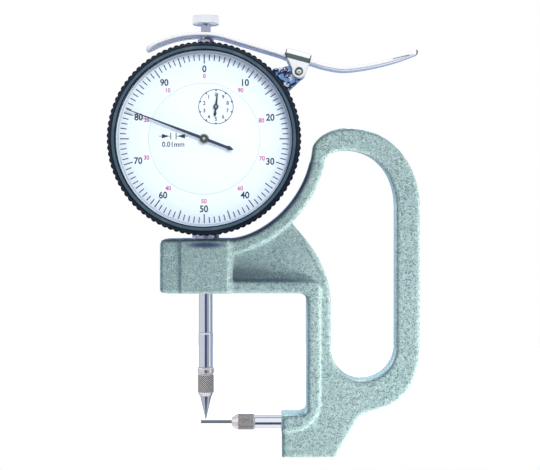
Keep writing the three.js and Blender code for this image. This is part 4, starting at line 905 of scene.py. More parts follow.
def casting_field(x, y, z, sizes):
    """Distance to the casting: rounded slabs joined with fillets, less the pocket and the bores."""
    body = outline_distance(casting_outline(), x, z)
    loop = outline_distance(finger_loop(), x, z)
    body_half, rib_half, block_half, boss_half = 4.6, 5.8, 6.2, 6.6
    screw_radius, stem_radius, spindle_radius, rod_radius = 1.6, 4.1, 2.3, 1.98
    bore_edge = 0.25
    field = slab(np.maximum(body, -loop), y, body_half, sizes.casting_edge)
    runout = (rib_half - body_half) * np.clip((z - 70) / 20, 0, 1)
    raised = outline_distance(raised_outline(), x, z)
    pocket = outline_distance(pocket_outline(), x, z)
    floor = 3.1 + 1.5 * np.clip((x - BLOCK[1]) / (RIB_RIGHT - BLOCK[1]), 0, 1)
    field = carve(field, np.maximum(pocket - 0.6, floor - np.abs(y)), 0.8)
    field = join(field, slab(raised, y, rib_half - runout, sizes.rib_edge), sizes.fillet)
    inset = 1.2
    block = box_distance(x, z, BLOCK[0] + inset, BLOCK[1], BLOCK[2] + inset, BLOCK[3] - inset) - inset
    field = join(field, slab(block, y, block_half, 1.1), 0.5)
    boss = box_distance(x, z, BOSS[0], BOSS[1], BLOCK[2] + 0.05, BLOCK[3] - 0.05)
    field = join(field, slab(boss, y, boss_half, 0.5), 0.5)
    screw = np.maximum(np.hypot(x, z - CLAMP_SCREW_Z) - screw_radius, -y)
    anvil_screw = np.maximum(np.hypot(x - ARM_LEFT - 5, z - ANVIL_Z) - screw_radius, -y)
    stem = np.maximum(np.hypot(x, y) - stem_radius, 49.6 - z)
    spindle = np.maximum(np.hypot(x, y) - spindle_radius, z - 60)
    anvil = np.maximum(np.hypot(y, z - ANVIL_Z) - rod_radius, x - ARM_LEFT - 10.05)
    for bore in (screw, anvil_screw, stem, spindle, anvil):
        field = carve(field, bore, bore_edge)
    return np.maximum(field, -z)


# Pieces


def field_piece(name, field, axes, step, finish, turn=None, centre=(0, 0, 0), **words):
    """A piece from the skin of a field, turned about Y by an angle and moved if that is asked."""
    points, faces = surface_net(field, axes, step)
    points = settle(points, field, axes, step)
    if turn is not None:
        cosine, sine = math.cos(turn), math.sin(turn)
        points = points @ np.array([[cosine, 0, sine], [0, 1, 0], [-sine, 0, cosine]]) + np.array(centre)
    return add_piece(name, points, faces, finish, **words)


def make_casting(sizes):
    """The casting, from its field of distances."""
    step = sizes.casting_step
    axes = grid_axes((-13.7, -6.6, 0), (63.2, 6.6, 97.1), step)
    field = casting_field(*axes, sizes)
    field_piece("painted_casting", field, axes, step, "casting", slot="casting", nodes=["frame"], smooth=60)


def hexagon(sides_at):
    """Relief that turns a round row into a hexagon of the same flats where the row is marked."""

    def relief(radius, height, angle):
        """r (1 / cos(angle from the middle of the nearest flat) - 1)."""
        sector = np.mod(angle, math.pi / 3) - math.pi / 6
        return np.where(sides_at(radius, height), radius * (1 / np.cos(sector) - 1), 0)

    return relief


def make_set_screw(name, start, centre):
    """A headless screw, chamfered, with a hexagon socket in its outer end."""
    end = start + 2.2
    profile = [(0, start), (1.25, start), (1.48, start + 0.25), (1.48, end - 0.25), (1.25, end)]
    profile += [(0.72, end), (0.72, end - 1), (0, end - 1.25)]
    relief = hexagon(lambda radius, height: (radius > 0.5) & (radius < 0.9))
    words = dict(axis="y", centre=centre, around=48, relief=relief, slot="dark_steel", nodes=[name])
    lathe(name.replace("_screw", "") + "_socket_screw", profile, "dark_steel", **words)


def slotted_screw(name, node, place, rotate, sizes, finish):
    """A cheese-head screw along +Z of its own frame, then turned and moved.

    Its sizes are the head's radius and height, and the shank's length and radius.
    Distance: a domed, round-edged disc joined to a shank, less a straight slot.
    """
    head, height, length, shank = sizes
    step, edge, crown, slot_turn, slot_half, slot_depth = 0.075, 0.12, 0.12, 0.7, 0.16, 0.42
    axes = grid_axes((-head, -head, -length), (head, head, height), step)
    x, y, z = axes
    radius = np.hypot(x, y)
    dome = z - height + crown * (radius / head) ** 2
    a, b = radius - head + edge, np.maximum(dome, -z) + edge
    disc = np.minimum(np.maximum(a, b), 0) + np.hypot(np.maximum(a, 0), np.maximum(b, 0)) - edge
    stalk = np.maximum(np.maximum(radius - shank, z - 0.1), -z - length)
    across = np.abs(x * math.cos(slot_turn) + y * math.sin(slot_turn)) - slot_half
    groove = np.maximum(across, height - slot_depth - z)
    field = carve(np.minimum(disc, stalk), groove, 0.06)
    points, faces = surface_net(field, axes, step)
    points = points @ np.asarray(rotate, float) + np.asarray(place, float)
    add_piece(name, points, faces, finish, slot=finish, nodes=[node], smooth=50)


def make_screws():
    """The set screws in the casting, the cover's four screws, the lug's two and the bridge's three."""
    make_set_screw("stem_clamp_screw", 4.1, (0, 0, CLAMP_SCREW_Z))
    make_set_screw("anvil_set_screw", 1.98, (ARM_LEFT + 5, 0, ANVIL_Z))
    cover_sizes, lug_sizes, bridge_sizes = (1.15, 0.9, 4, 0.6), (1.15, 0.8, 3.2, 0.6), (1.3, 0.7, 2.6, 0.65)
    for number in range(1, 5):
        node = f"back_cover_screw_{number}"
        place = head_seat(node, cover_sizes[1])
        slotted_screw(f"cover_screw_{number}", node, place, AXES["y"], cover_sizes, "dark_steel")
    along = np.array([PIVOT_X, 0, PIVOT_Z - DIAL_Z]) / PIVOT_REACH
    across = np.array([-along[2], 0, along[0]])
    rotate = np.array([[0, 1, 0], across, along])
    for number, side in ((1, -1), (2, 1)):
        node = f"bracket_screw_{number}"
        place = np.array([0, 5.1, DIAL_Z]) + along * 26.25 + across * side * 3.5
        slotted_screw(f"lug_screw_{number}", node, place, rotate, lug_sizes, "steel")
    for number in range(1, 4):
        node = f"bridge_screw_{number}"
        place = head_seat(node, bridge_sizes[1])
        slotted_screw(f"movement_screw_{number}", node, place, AXES["y"], bridge_sizes, "steel")


def node_centre(node):
    """The middle of a CAD node's box as X from the spindle's axis and Z."""
    low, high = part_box(node)
    return (low.x + high.x) / 2 / MM - SPINDLE_X, (low.z + high.z) / 2 / MM


def head_seat(node, height):
    """Where the head of a screw that faces the rear starts, a head's height in front of its node's rear."""
    x, z = node_centre(node)
    return x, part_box(node)[1].y / MM - height, z


def diamonds(low, high, depth):
    """Relief of a diamond knurl between two heights.

    The grooves are the waves of the knurl's finish, and the skin goes down by depth (1 - least wave^0.8).
    """

    def relief(radius, height, angle):
        """Valleys where either wave is low, fading out at both ends."""
        across, along = angle * KNURL_COUNT / 2, math.pi * (height - low) / KNURL_PITCH
        first, second = np.abs(np.sin(across + along)), np.abs(np.sin(across - along))
        ends = np.clip(np.minimum(height - low, high - height) / 0.15, 0, 1)
        return -depth * ends * (1 - np.minimum(first, second) ** 0.8)

    return relief


def face_centres(piece):
    """The X, Y and Z of the centres of the piece's faces, in millimetres."""
    faces = piece.data.polygons
    centres = np.zeros(len(faces) * 3)
    faces.foreach_get("center", centres)
    return (centres.reshape(-1, 3) / MM).T


def set_zones(piece, names, zone):
    """Further finishes for the piece, and each face's number in its list of finishes."""
    for name in names:
        piece.data.materials.append(finishes[name])
    piece.data.polygons.foreach_set("material_index", zone.astype(np.int32))


def zone_finish(piece, finish, axis, low, high):
    """A second finish on the faces whose centres lie between two places along an axis."""
    place = face_centres(piece)[axis]
    set_zones(piece, [finish], (place > low) & (place < high))


def zone_ring(piece, finish, centre, low, high, front=0.0):
    """A second finish on the faces in front of a depth that lie between two radii from an axis along Y."""
    x, y, z = face_centres(piece)
    radius = np.hypot(x - SPINDLE_X - centre[0], z - centre[1])
    set_zones(piece, [finish], (radius > low) & (radius < high) & (y < front))


def make_spindle_group(sizes):
    """Spindle with its rack, extension, lock nut, knurled holder, contact cone, knob and guide pin."""
    group = dict(body="spindle_group")
    base = [(0, 36.5), (2, 36.5), (2, 102.6), (1, 102.6), (1, 129.5), (0, 129.5)]
    profile = even_profile(rounded(base, 0.2), 2.5)
    spindle = lathe("measuring_spindle", profile, "turned_z", slot="chrome", nodes=["spindle"], **group)
    cut(spindle, *rack_teeth())
    profile = even_profile(rounded(rod(2.1, 26.25, 36.45), 0.14), 0.7)
    lathe("spindle_extension", profile, "turned_z", slot="chrome", nodes=["extension_rod"], **group)
    profile = rounded([(0, 24.3), (2.1, 24.3), (2.43, 24.6), (2.43, 25.9), (2.1, 26.2), (0, 26.2)], 0.1)
    lathe("contact_lock_nut", profile, "nose", slot="steel", nodes=["lock_nut"], **group)
    base = [(0, 17.7), (1.85, 17.7), (2.2, 18.55), (2.38, 18.75)]
    base += [(2.4, 19.0), (2.4, 23.85), (2.15, 24.25), (0, 24.25)]
    profile = even_profile(rounded(base, 0.12), 0.075)
    relief = diamonds(*HOLDER_KNURL, sizes.knurl_depth)
    words = dict(relief=relief, around=KNURL_COUNT * 10, slot="steel", nodes=["contact_holder"], **group)
    holder = lathe("contact_chuck", profile, "nose", **words)
    zone_finish(holder, "knurled", 2, HOLDER_KNURL[0] + 0.1, HOLDER_KNURL[1] - 0.1)
    profile = rounded([(0, 10.76), (0.14, 10.85), (1.68, 17.66), (0.8, 17.68), (0.8, 21.7), (0, 21.7)], 0.05)
    lathe("contact_cone", profile, "cone", slot="dark_steel", nodes=["contact_tip"], **group)
    make_knob(group)
    words = dict(axis="x", centre=(0, 0, DIAL_Z + 6), around=32, slot="steel", nodes=["guide_pin"], **group)
    lathe("rack_guide_pin", rounded(rod(0.6, 0.1, 9.2), 0.12), "steel", **words)


def rack_teeth():
    """The saw outline cut from the spindle's left side, as one prism across it."""
    pitch, root = 0.625, 2 - 0.42
    centre = DRIVE_Z + pitch * np.arange(-19, 4)[:, None]
    gap = np.array([[-2, -0.2 - 0.167], [-root, -0.2], [-root, 0.2], [-2, 0.2 + 0.167]])
    x = np.repeat(gap[None, :, 0], len(centre), 0).ravel()
    z = (centre + gap[None, :, 1] * pitch).ravel()
    outline = np.stack([x, z], -1)
    ends = np.array([[-4, z[-1]], [-4, z[0]]])
    return prisms(np.concatenate([outline, ends])[None], -4, 4)


def make_knob(group):
    """The lifting knob: a necked head with a straight knurl and a shallow dish on top."""
    base = [(0, 125.4), (1.42, 125.4), (1.42, 127.65), (3.55, 127.65), (3.93, 128.0)]
    base += [(3.93, 130.1), (3.6, 130.45), (2.9, 130.45), (2.6, 130.38), (0, 130.38)]

    def ridges(radius, height, angle):
        """-0.11 |cos 30 u|^1.5 on the head's rim, fading out at both ends."""
        ends = np.clip(np.minimum(height - 127.85, 130.25 - height) / 0.12, 0, 1) * (radius > 3.4)
        return -0.11 * ends * np.abs(np.cos(angle * 30)) ** 1.5

    profile = even_profile(rounded(base, 0.14), 0.3)
    words = dict(relief=ridges, around=30 * 12, slot="chrome", nodes=["lifting_knob"], **group)
    knob = lathe("knob_head", profile, "turned_z", **words)
    # Painted shade on the knob's neck
    zone_finish(knob, "stem", 2, 125.3, 127.6)


def make_anvil(sizes):
    """The anvil's rod, its knurled chuck and the measuring pin, all along X."""
    words = dict(axis="x", centre=(0, 0, ANVIL_Z))
    profile = even_profile(rounded(rod(1.88, 14.55, 32.56), 0.15), 0.8)
    lathe("anvil_shaft", profile, "turned_z", slot="chrome", nodes=["anvil_rod"], **words)
    base = [(0.56, 7.7), (1.25, 7.7), (2.28, 9.5), (2.35, 9.8), (2.35, 14.15)]
    base += [(2.1, 14.5), (0, 14.5), (0, 11.7), (0.56, 11.7), (0.56, 7.7)]
    profile = even_profile(rounded(base, 0.12), 0.075)
    relief = diamonds(*CHUCK_KNURL, sizes.knurl_depth)

    def outer(radius, height, angle):
        """The knurl on the chuck's outside, and none in its bore."""
        return np.where(radius > 1.9, relief(radius, height, angle), 0)

    knurled = dict(relief=outer, around=KNURL_COUNT * 10, slot="steel", nodes=["anvil_chuck"])
    chuck = lathe("anvil_pin_chuck", profile, "nose", **knurled, **words)
    zone_finish(chuck, "knurled_anvil", 0, 9.7 + SPINDLE_X, 14.2 + SPINDLE_X)
    profile = rounded(rod(0.5, -1.45, 11.6), 0.06)
    lathe("measuring_pin", profile, "dark_steel", around=48, slot="dark_steel", nodes=["anvil_pin"], **words)


def make_housing():
    """Case, back cover, stem and bush. The bores are cut where rods pass through."""
    centre = (0, 0, DIAL_Z)
    words = dict(axis="y", centre=centre, around=160)
    base = [(1.3, -8.9), (15.4, -8.9), (15.4, -8.4), (24.9, -8.4), (24.9, -6.5), (24.5, -6.5)]
    base += [(24.5, -5.7), (24.9, -5.7), (24.9, 7), (22.7, 7), (22.7, -7), (1.3, -7), (1.3, -8.9)]
    case = lathe("dial_case", rounded(base, 0.18, 3), "turned_y", slot="chrome", nodes=["case"], **words)
    cut(case, *rod_cutter("z", 4.1, -27, -20, centre))
    cut(case, *rod_cutter("z", 2.0, 20, 27, centre))
    cut(case, *rod_cutter("y", 0.7, -10, -5, (COUNTER_X, 0, COUNTER_Z)))
    cut(case, *rod_cutter("y", 1.3, -10, -5, (DRIVE_X, 0, DRIVE_Z)))
    base = [(0, 7.05), (24.9, 7.05), (24.9, 8.45), (24.6, 8.65), (20.8, 8.65)]
    base += [(20.6, 8.5), (19.9, 8.5), (19.7, 8.65), (0, 8.65)]
    cover = lathe("case_back", rounded(base, 0.1, 3), "cover", slot="chrome", nodes=["back_cover"], **words)
    for number in range(1, 5):
        x, z = node_centre(f"back_cover_screw_{number}")
        cut(cover, *rod_cutter("y", 1.25, 7.65, 10, (x, 0, z)))
    base = [(2.1, 49.85), (3.9, 49.85), (4, 50), (4, 71.9), (2.1, 71.9), (2.1, 49.85)]
    # Painted shade: the stem and the bush take the darker steel
    lathe("clamp_stem", even_profile(rounded(base, 0.1), 0.9), "stem", slot="steel", nodes=["stem"])
    base = [(1.1, 115.5), (1.9, 115.5), (1.9, 118.6), (2.37, 118.6), (2.37, 123.3)]
    base += [(2.1, 123.6), (1.1, 123.6), (1.1, 115.5)]
    lathe("rod_bush", rounded(base, 0.12), "stem", slot="steel", nodes=["upper_bush"])


def make_bezel(sizes):
    """Bezel with a scalloped grip, its snap ring and the crystal."""
    words = dict(axis="y", centre=(0, 0, DIAL_Z), body="bezel_group")
    front = [(25.35, -13.55), (25.35, -14.15), (25.5, -14.35), (25.7, -14.4), (26.55, -14.4)]
    front += [(27.2, -13.6), (27.5, -12.6)]
    grip = [(27.55, -11.7), (28.13, -11.45), (28.13, -4.85), (27.5, -4.6), (27.5, -4.15), (27.3, -4.05)]
    back = [(25.2, -4.05), (25.2, -5.7), (25.6, -5.7), (25.6, -6.5), (25.2, -6.5), (25.2, -8.95)]
    back += [(25.7, -8.95), (25.7, -12.25)]
    seat = [(26.3, -12.25), (26.3, -13.55), (25.35, -13.55)]
    profile = even_profile(rounded(front + grip + back + seat, 0.16, 3), 0.8)
    count = sizes.scallops

    def scallop(radius, height, angle):
        """-0.5 (1 - |sin(count u / 2)|^0.7) on the grip, fading out at both ends."""
        zone = np.clip(np.minimum(height + 11.65, -4.7 - height) / 0.25, 0, 1) * (radius > 27.9)
        return -0.5 * zone * (1 - np.abs(np.sin(angle * count / 2)) ** 0.7)

    grip_words = dict(relief=scallop, around=count * 8, slot="bezel_black", nodes=["bezel"])
    bezel = lathe("scalloped_bezel", profile, "bezel", **grip_words, **words)
    # Painted sheen on the front face of the bezel
    zone_ring(bezel, "bezel_face", (0, DIAL_Z), 25.68, 26.5, -14.2)
    words["around"] = 160
    pane = rounded(rod(26.2, -13.5, -12.3), 0.12, 2)
    lathe("crystal_pane", pane, "crystal", slot="crystal", nodes=["crystal"], **words)
    ring = rounded(washer(24.55, 25.55, -6.35, -5.85), 0.08, 2)
    lathe("bezel_retaining_ring", ring, "steel", slot="steel", nodes=["bezel_snap_ring"], **words)


def strokes(radii, angles, widths):
    """Outlines of radial strokes at clockwise angles from the top.

    The corners are radius (sin, cos) of the angle, half a width either side of it, at two radii.
    """
    inner, outer = (np.asarray(value, float) for value in radii)
    angles = np.radians(angles)
    out = np.stack([np.sin(angles), np.cos(angles)], -1)
    side = np.stack([out[:, 1], -out[:, 0]], -1) * (np.asarray(widths, float) / 2)[:, None]
    inner, outer = inner[:, None] * out, outer[:, None] * out
    return np.stack([inner - side, outer - side, outer + side, inner + side], 1)


def print_piece(name, outlines, centre, finish, body, thickness=0.02):
    """Flat print on the dial's face, as thin prisms."""
    moved = np.asarray(outlines, float) + np.asarray(centre, float)
    points, faces = prisms(moved, DIAL_FRONT - thickness, DIAL_FRONT + 0.01)
    return add_piece(name, points, faces, finish, body=body, slot="dial_white")


def numeral_mesh(text, height, widen, weight):
    """A flat numeral as thin closed letters: points centred on zero, and faces."""
    curve = bpy.data.curves.new("numeral", "FONT")
    curve.body = text
    curve.resolution_u = 4
    curve.extrude = 0.01
    curve.offset = weight
    item = bpy.data.objects.new("numeral", curve)
    bpy.context.scene.collection.objects.link(item)
    mesh = evaluated_mesh(item)
    points = np.zeros(len(mesh.vertices) * 3)
    mesh.vertices.foreach_get("co", points)
    points = points.reshape(-1, 3)
    faces = [tuple(polygon.vertices) for polygon in mesh.polygons]
    bpy.data.objects.remove(item)
    bpy.data.meshes.remove(mesh)
    low, high = points.min(0), points.max(0)
    points[:, :2] = (points[:, :2] - (low + high)[:2] / 2) * height / (high[1] - low[1])
    points[:, 0] *= widen
    return points, faces


def numerals_piece(name, words, finish, body, height, widen=0.92, weight=0.026):
    """Numerals at places (x, z) on the dial's face, as one mesh."""
    all_points, triangles, quads, start = [], [], [], 0
    for text, x, z in words:
        points, faces = numeral_mesh(text, height, widen, weight)
        depth = np.where(points[:, 2] > 0, DIAL_FRONT - 0.02, DIAL_FRONT + 0.01)
        all_points.append(np.stack([points[:, 0] + x, depth, points[:, 1] + z], -1))
        triangles += [[corner + start for corner in face] for face in faces if len(face) == 3]
        quads += [[corner + start for corner in face] for face in faces if len(face) == 4]
        start += len(points)
    points = np.concatenate(all_points)
    return add_piece(name, points, [triangles, quads], finish, body=body, slot="dial_white")


def make_dial(sizes):
    """Dial ring with its graduations and numerals, and the fixed centre with the counter's scale."""
    centre = (0, 0, DIAL_Z)
    words = dict(axis="y", centre=centre, around=192, slot="dial_white")
    ring = rounded(washer(16.2, 25.6, DIAL_FRONT, -9), 0.04, 2)
    lathe("dial_face_ring", ring, "dial", body="bezel_group", nodes=["dial_ring"], **words)
    disc = rounded(rod(16.1, DIAL_FRONT, -9), 0.04, 2)
    plate = lathe("dial_face_centre", disc, "dial", nodes=["dial_centre"], **words)
    cut(plate, *rod_cutter("y", 0.8, -11, -8, centre))
    cut(plate, *rod_cutter("y", 0.8, -11, -8, (COUNTER_X, 0, COUNTER_Z)))
    lathe("dial_joint", washer(16.08, 16.17, -9.52, -9.3), "groove", **words)
    # Painted shade: two thin blue rings near the dial's wall
    for number, radius in enumerate((24.86, 25.1), 1):
        line = washer(radius, radius + 0.07, -9.62, -9.59)
        lathe(f"dial_wall_line_{number}", line, "wall_line", body="bezel_group", **words)
    make_graduations(sizes)
    make_counter_scale(sizes)
    make_symbol()


# Middles of the hub, numerals and symbol in the photograph, in pixels from its left and top
HUB_PIXEL = (203.9, 138.95)
DIAL_PIXEL_SIZE = 0.29
DARK_NUMERAL_PIXELS = (
    ("0", 204, 68.9),
    ("10", 245.1, 82.7),
    ("20", 269.9, 117.5),
    ("30", 269.9, 161.5),
    ("40", 244.6, 195.2),
    ("50", 203.6, 209),
    ("60", 162.7, 195.2),
    ("70", 137.8, 160.8),
    ("80", 138.2, 117.2),
    ("90", 163.9, 82.7),
)
RED_NUMERAL_PIXELS = (
    ("0", 204, 76.1),
    ("90", 240.3, 90.4),
    ("80", 261, 120.5),
    ("70", 261.7, 158.5),
    ("60", 240, 188.3),
    ("50", 203.6, 201.3),
    ("40", 167.8, 188.3),
    ("30", 146.2, 157.7),
    ("20", 146.2, 119.9),
    ("10", 167.8, 90.4),
)
VALUE_PIXEL = (172.8, 144.4)
BAR_PIXELS = (170.4, 175.7)
ARROW_END_PIXELS = (158.6, 187.2)
SYMBOL_PIXEL_ROW = 136.3


def dial_place(column, row):
    """X and Z on the dial's face of a pixel of the photograph."""
    x = (column - HUB_PIXEL[0]) * DIAL_PIXEL_SIZE
    return x, DIAL_Z - (row - HUB_PIXEL[1]) * DIAL_PIXEL_SIZE


def make_graduations(sizes):
    """A hundred graduations with longer ones at every five, and numerals both ways round."""
    number = np.arange(100)
    tens, fives = number % 10 == 0, number % 10 == 5
    inner = np.where(tens | fives, 21.85, 22.72)
    widths = np.where(tens | fives, sizes.long_tick_width, sizes.tick_width)
    outlines = strokes((inner, np.full(100, 24.5)), number * 3.6, widths)
    print_piece("graduations", outlines, (0, DIAL_Z), "ink", "bezel_group")
    for name, pixels, finish, height in (
        ("numerals", DARK_NUMERAL_PIXELS, "ink", sizes.numeral_height),
        ("inner_numerals", RED_NUMERAL_PIXELS, "red_ink", sizes.red_height),
    ):
        places = [(text, *dial_place(column, row)) for text, column, row in pixels]
        numerals_piece(name, places, finish, "bezel_group", height)


def make_counter_scale(sizes):
    """The turn counter: a thin circle, ten inward wedges and numerals that run anticlockwise."""
    centre = (COUNTER_X, COUNTER_Z)
    words = dict(axis="y", centre=(COUNTER_X, 0, COUNTER_Z), around=96, slot="dial_white")
    lathe("counter_circle", washer(4.89, 5.1, -9.62, -9.59), "ink", **words)
    angles = np.radians(np.arange(10) * 36)
    out = np.stack([np.sin(angles), np.cos(angles)], -1)
    side = np.stack([out[:, 1], -out[:, 0]], -1) * 0.32
    wedges = np.stack([out * 4.95 - side, out * 4.95 + side, out * 4.35], 1)
    print_piece("counter_wedges", wedges, centre, "ink", BODY)
    radius = 3.55
    places = []
    for number in range(10):
        turn = number * math.pi / 5
        x, z = COUNTER_X - radius * math.sin(turn), COUNTER_Z + radius * math.cos(turn)
        places.append((str(number), x, z))
    numerals_piece("counter_numerals", places, "ink", BODY, sizes.small_height, 0.95, 0.03)


def make_symbol():
    """The graduation symbol: two arrows that point at a pair of bars, with the value of a graduation."""
    left, right = (dial_place(column, 0)[0] for column in ARROW_END_PIXELS)
    bars = [dial_place(column, 0)[0] for column in BAR_PIXELS]
    height = dial_place(0, SYMBOL_PIXEL_ROW)[1]
    squares = []
    for x in bars:
        squares.append([(x - 0.13, -0.95), (x + 0.13, -0.95), (x + 0.13, 0.95), (x - 0.13, 0.95)])
    for start, end in ((left, bars[0] - 0.3), (bars[1] + 0.3, right)):
        squares.append([(start, -0.1), (end, -0.1), (end, 0.1), (start, 0.1)])
    print_piece("symbol_lines", squares, (0, height), "ink", BODY)
    heads = [
        [(bars[0] - 2.6, -0.66), (bars[0] - 0.3, 0), (bars[0] - 2.6, 0.66)],
        [(bars[1] + 2.6, -0.66), (bars[1] + 0.3, 0), (bars[1] + 2.6, 0.66)],
    ]
    print_piece("symbol_arrows", heads, (0, height), "ink", BODY)
    place = [("0.01mm", *dial_place(*VALUE_PIXEL))]
    numerals_piece("graduation_value", place, "ink", BODY, 1.55, 0.96, 0.016)


def pointer_blade(angle, length, tail, base, tip, leaf):
    """The outline (x, z) of a blade at a clockwise angle from the top, with a leaf at its tail's end.

    Half widths stand along the blade from the tail to the tip, and the other side mirrors them.
    """
    half = [(-tail + leaf * 0.45, leaf * 0.3), (-tail + leaf, leaf / 2), (-tail + leaf * 1.7, base * 0.42)]
    half += [(0, base / 2), (length, tip / 2)]
    side = np.array([(-tail, 0.02)] + half)
    loop = np.concatenate([side, side[::-1] * [1, -1]])
    turn = math.radians(angle)
    east, north = math.sin(turn), math.cos(turn)
    x = east * loop[:, 0] + north * loop[:, 1]
    z = north * loop[:, 0] - east * loop[:, 1]
    return np.stack([x, z], -1)


def make_pointers():
    """The main pointer with its hub and pale seat, and the counter's pointer with its hub."""
    blade = pointer_blade(angle=290.8, length=24.1, tail=9.1, base=0.95, tip=0.2, leaf=1.35)
    points, faces = prisms([blade + [0, DIAL_Z]], -11.25, -11.0)
    words = dict(slot="pointer_black", nodes=["main_pointer"], body="pointer_group")
    add_piece("pointer_blade", points, faces, "pointer", **words)
    words = dict(axis="y", centre=(0, 0, DIAL_Z), around=64, slot="steel", body="pointer_group")
    hub = [(0, -11.74), (0.45, -11.74), (0.5, -11.62), (0.95, -11.62), (1.0, -11.72)]
    hub += [(1.12, -11.72), (1.2, -11.6), (1.2, -10.8), (0, -10.8)]
    turned = lathe("pointer_hub", rounded(hub, 0.04, 3), "burnished", **words)
    zone_ring(turned, "seat", (0, DIAL_Z), -1, 0.3)
    lathe("pointer_seat", rounded(rod(1.5, -10.95, -10.75), 0.08), "seat", **words)
    blade = pointer_blade(angle=7, length=3.9, tail=3.0, base=0.66, tip=0.3, leaf=0.9)
    points, faces = prisms([blade + [COUNTER_X, COUNTER_Z]], -10.2, -10.0)
    words = dict(slot="pointer_black", nodes=["counter_pointer"], body="takeup_group")
    add_piece("counter_blade", points, faces, "pointer", **words)
    words = dict(axis="y", centre=(COUNTER_X, 0, COUNTER_Z), around=64, slot="steel", body="takeup_group")
    hub = [(0, -10.44), (0.3, -10.44), (0.34, -10.38), (0.6, -10.38), (0.66, -10.42)]
    hub += [(0.76, -10.36), (0.8, -9.87), (0, -9.87)]
    turned = lathe("counter_hub", rounded(hub, 0.03, 3), "burnished", **words)
    zone_ring(turned, "seat", (COUNTER_X, COUNTER_Z), -1, 0.22)


def lever_line():
    """The lever's centre line: a smooth curve through points measured along the lever.

    Between b and c, with a before and d after them, it is half of
    2b + (c - a) t + (2a - 5b + 4c - d) t^2 + (3b - a - 3c + d) t^3.
    """
    rise = 124.65 - PIVOT_Z
    tail = [(-1.03, 0.605), (-0.8, 0.785), (-0.54, 0.915), (-0.28, 0.985), (0, 1)]
    span = [(0.15, 0.957), (0.365, 0.797), (0.58, 0.635), (0.79, 0.478), (0.9, 0.38)]
    thumb = [(0.1, 0.262), (0.214, 0.155), (0.367, 0.075), (0.52, 0.117)]
    thumb += [(0.67, 0.208), (0.83, 0.345), (1, 0.54)]
    knots = [(16.9 * x, z) for x, z in tail] + [(PIVOT_X * x, z) for x, z in span]
    knots += [(PIVOT_X + 35.1 * x, z) for x, z in thumb]
    knots = np.array([(x, PIVOT_Z + rise * z) for x, z in knots])
    padded = np.concatenate([knots[:1], knots, knots[-1:]])
    t = np.linspace(0, 1, 14, endpoint=False)[:, None]
    parts = []
    for a, b, c, d in zip(padded[:-3], padded[1:-2], padded[2:-1], padded[3:]):
        second, third = 2 * a - 5 * b + 4 * c - d, 3 * b - a - 3 * c + d
        parts.append(0.5 * (2 * b + (c - a) * t + second * t**2 + third * t**3))
    return np.concatenate([*parts, knots[-1:]])


def make_lever(sizes):
    """The bent strip with rounded ends and a fork at its tail.

    Distance: a plan with rounded corners, given the strip's thickness about its centre line, less the
    fork's slot.
    """
    step = sizes.sheet_step
    line = lever_line()
    half_width, half_thickness, corner, edge = 4, 0.7, 2.4, 0.42
    low = (line[:, 0].min() - 0.3, -half_width, line[:, 1].min() - half_thickness)
    high = (line[:, 0].max() + 0.3, half_width, line[:, 1].max() + half_thickness)
    axes = grid_axes(low, high, step)
    x, y, z = axes
    middle = edge_distance(line, x, z)
    start, end = line[0, 0] - 0.1, line[-1, 0] + 0.1
    a = np.abs(x - (start + end) / 2) - (end - start) / 2 + corner
    b = np.abs(y) - half_width + corner
    plan = np.minimum(np.maximum(a, b), 0) + np.hypot(np.maximum(a, 0), np.maximum(b, 0)) - corner
    field = slab(plan, middle, half_thickness, edge)
    slot_end = np.maximum(x - 0.5, 0)
    slot = np.hypot(slot_end, y) - 1.2
    field = carve(field, slot, 0.2)
    words = dict(body="lever_group", slot="chrome", nodes=["lever"], smooth=50)
    strip = field_piece("lift_lever", field, axes, step, "lever", **words)
    # Painted reflection: near-black on the lever's thumb end
    zone_finish(strip, "fold_end", 0, PIVOT_X + 34.6 + SPINDLE_X, PIVOT_X + 36 + SPINDLE_X)
    # Painted reflection: a thin dark strip on the lever's front, along its lower edge
    painted_edge_strip = [(55.2, 117.25), (60.0, 118.4), (60.0, 118.62), (55.2, 117.43)]
    points, faces = prisms(np.array([painted_edge_strip]), -4.02, -3.8)
    add_piece("lever_painted_edge_reflection", points, faces, "fold_end", body="lever_group", slot="chrome")


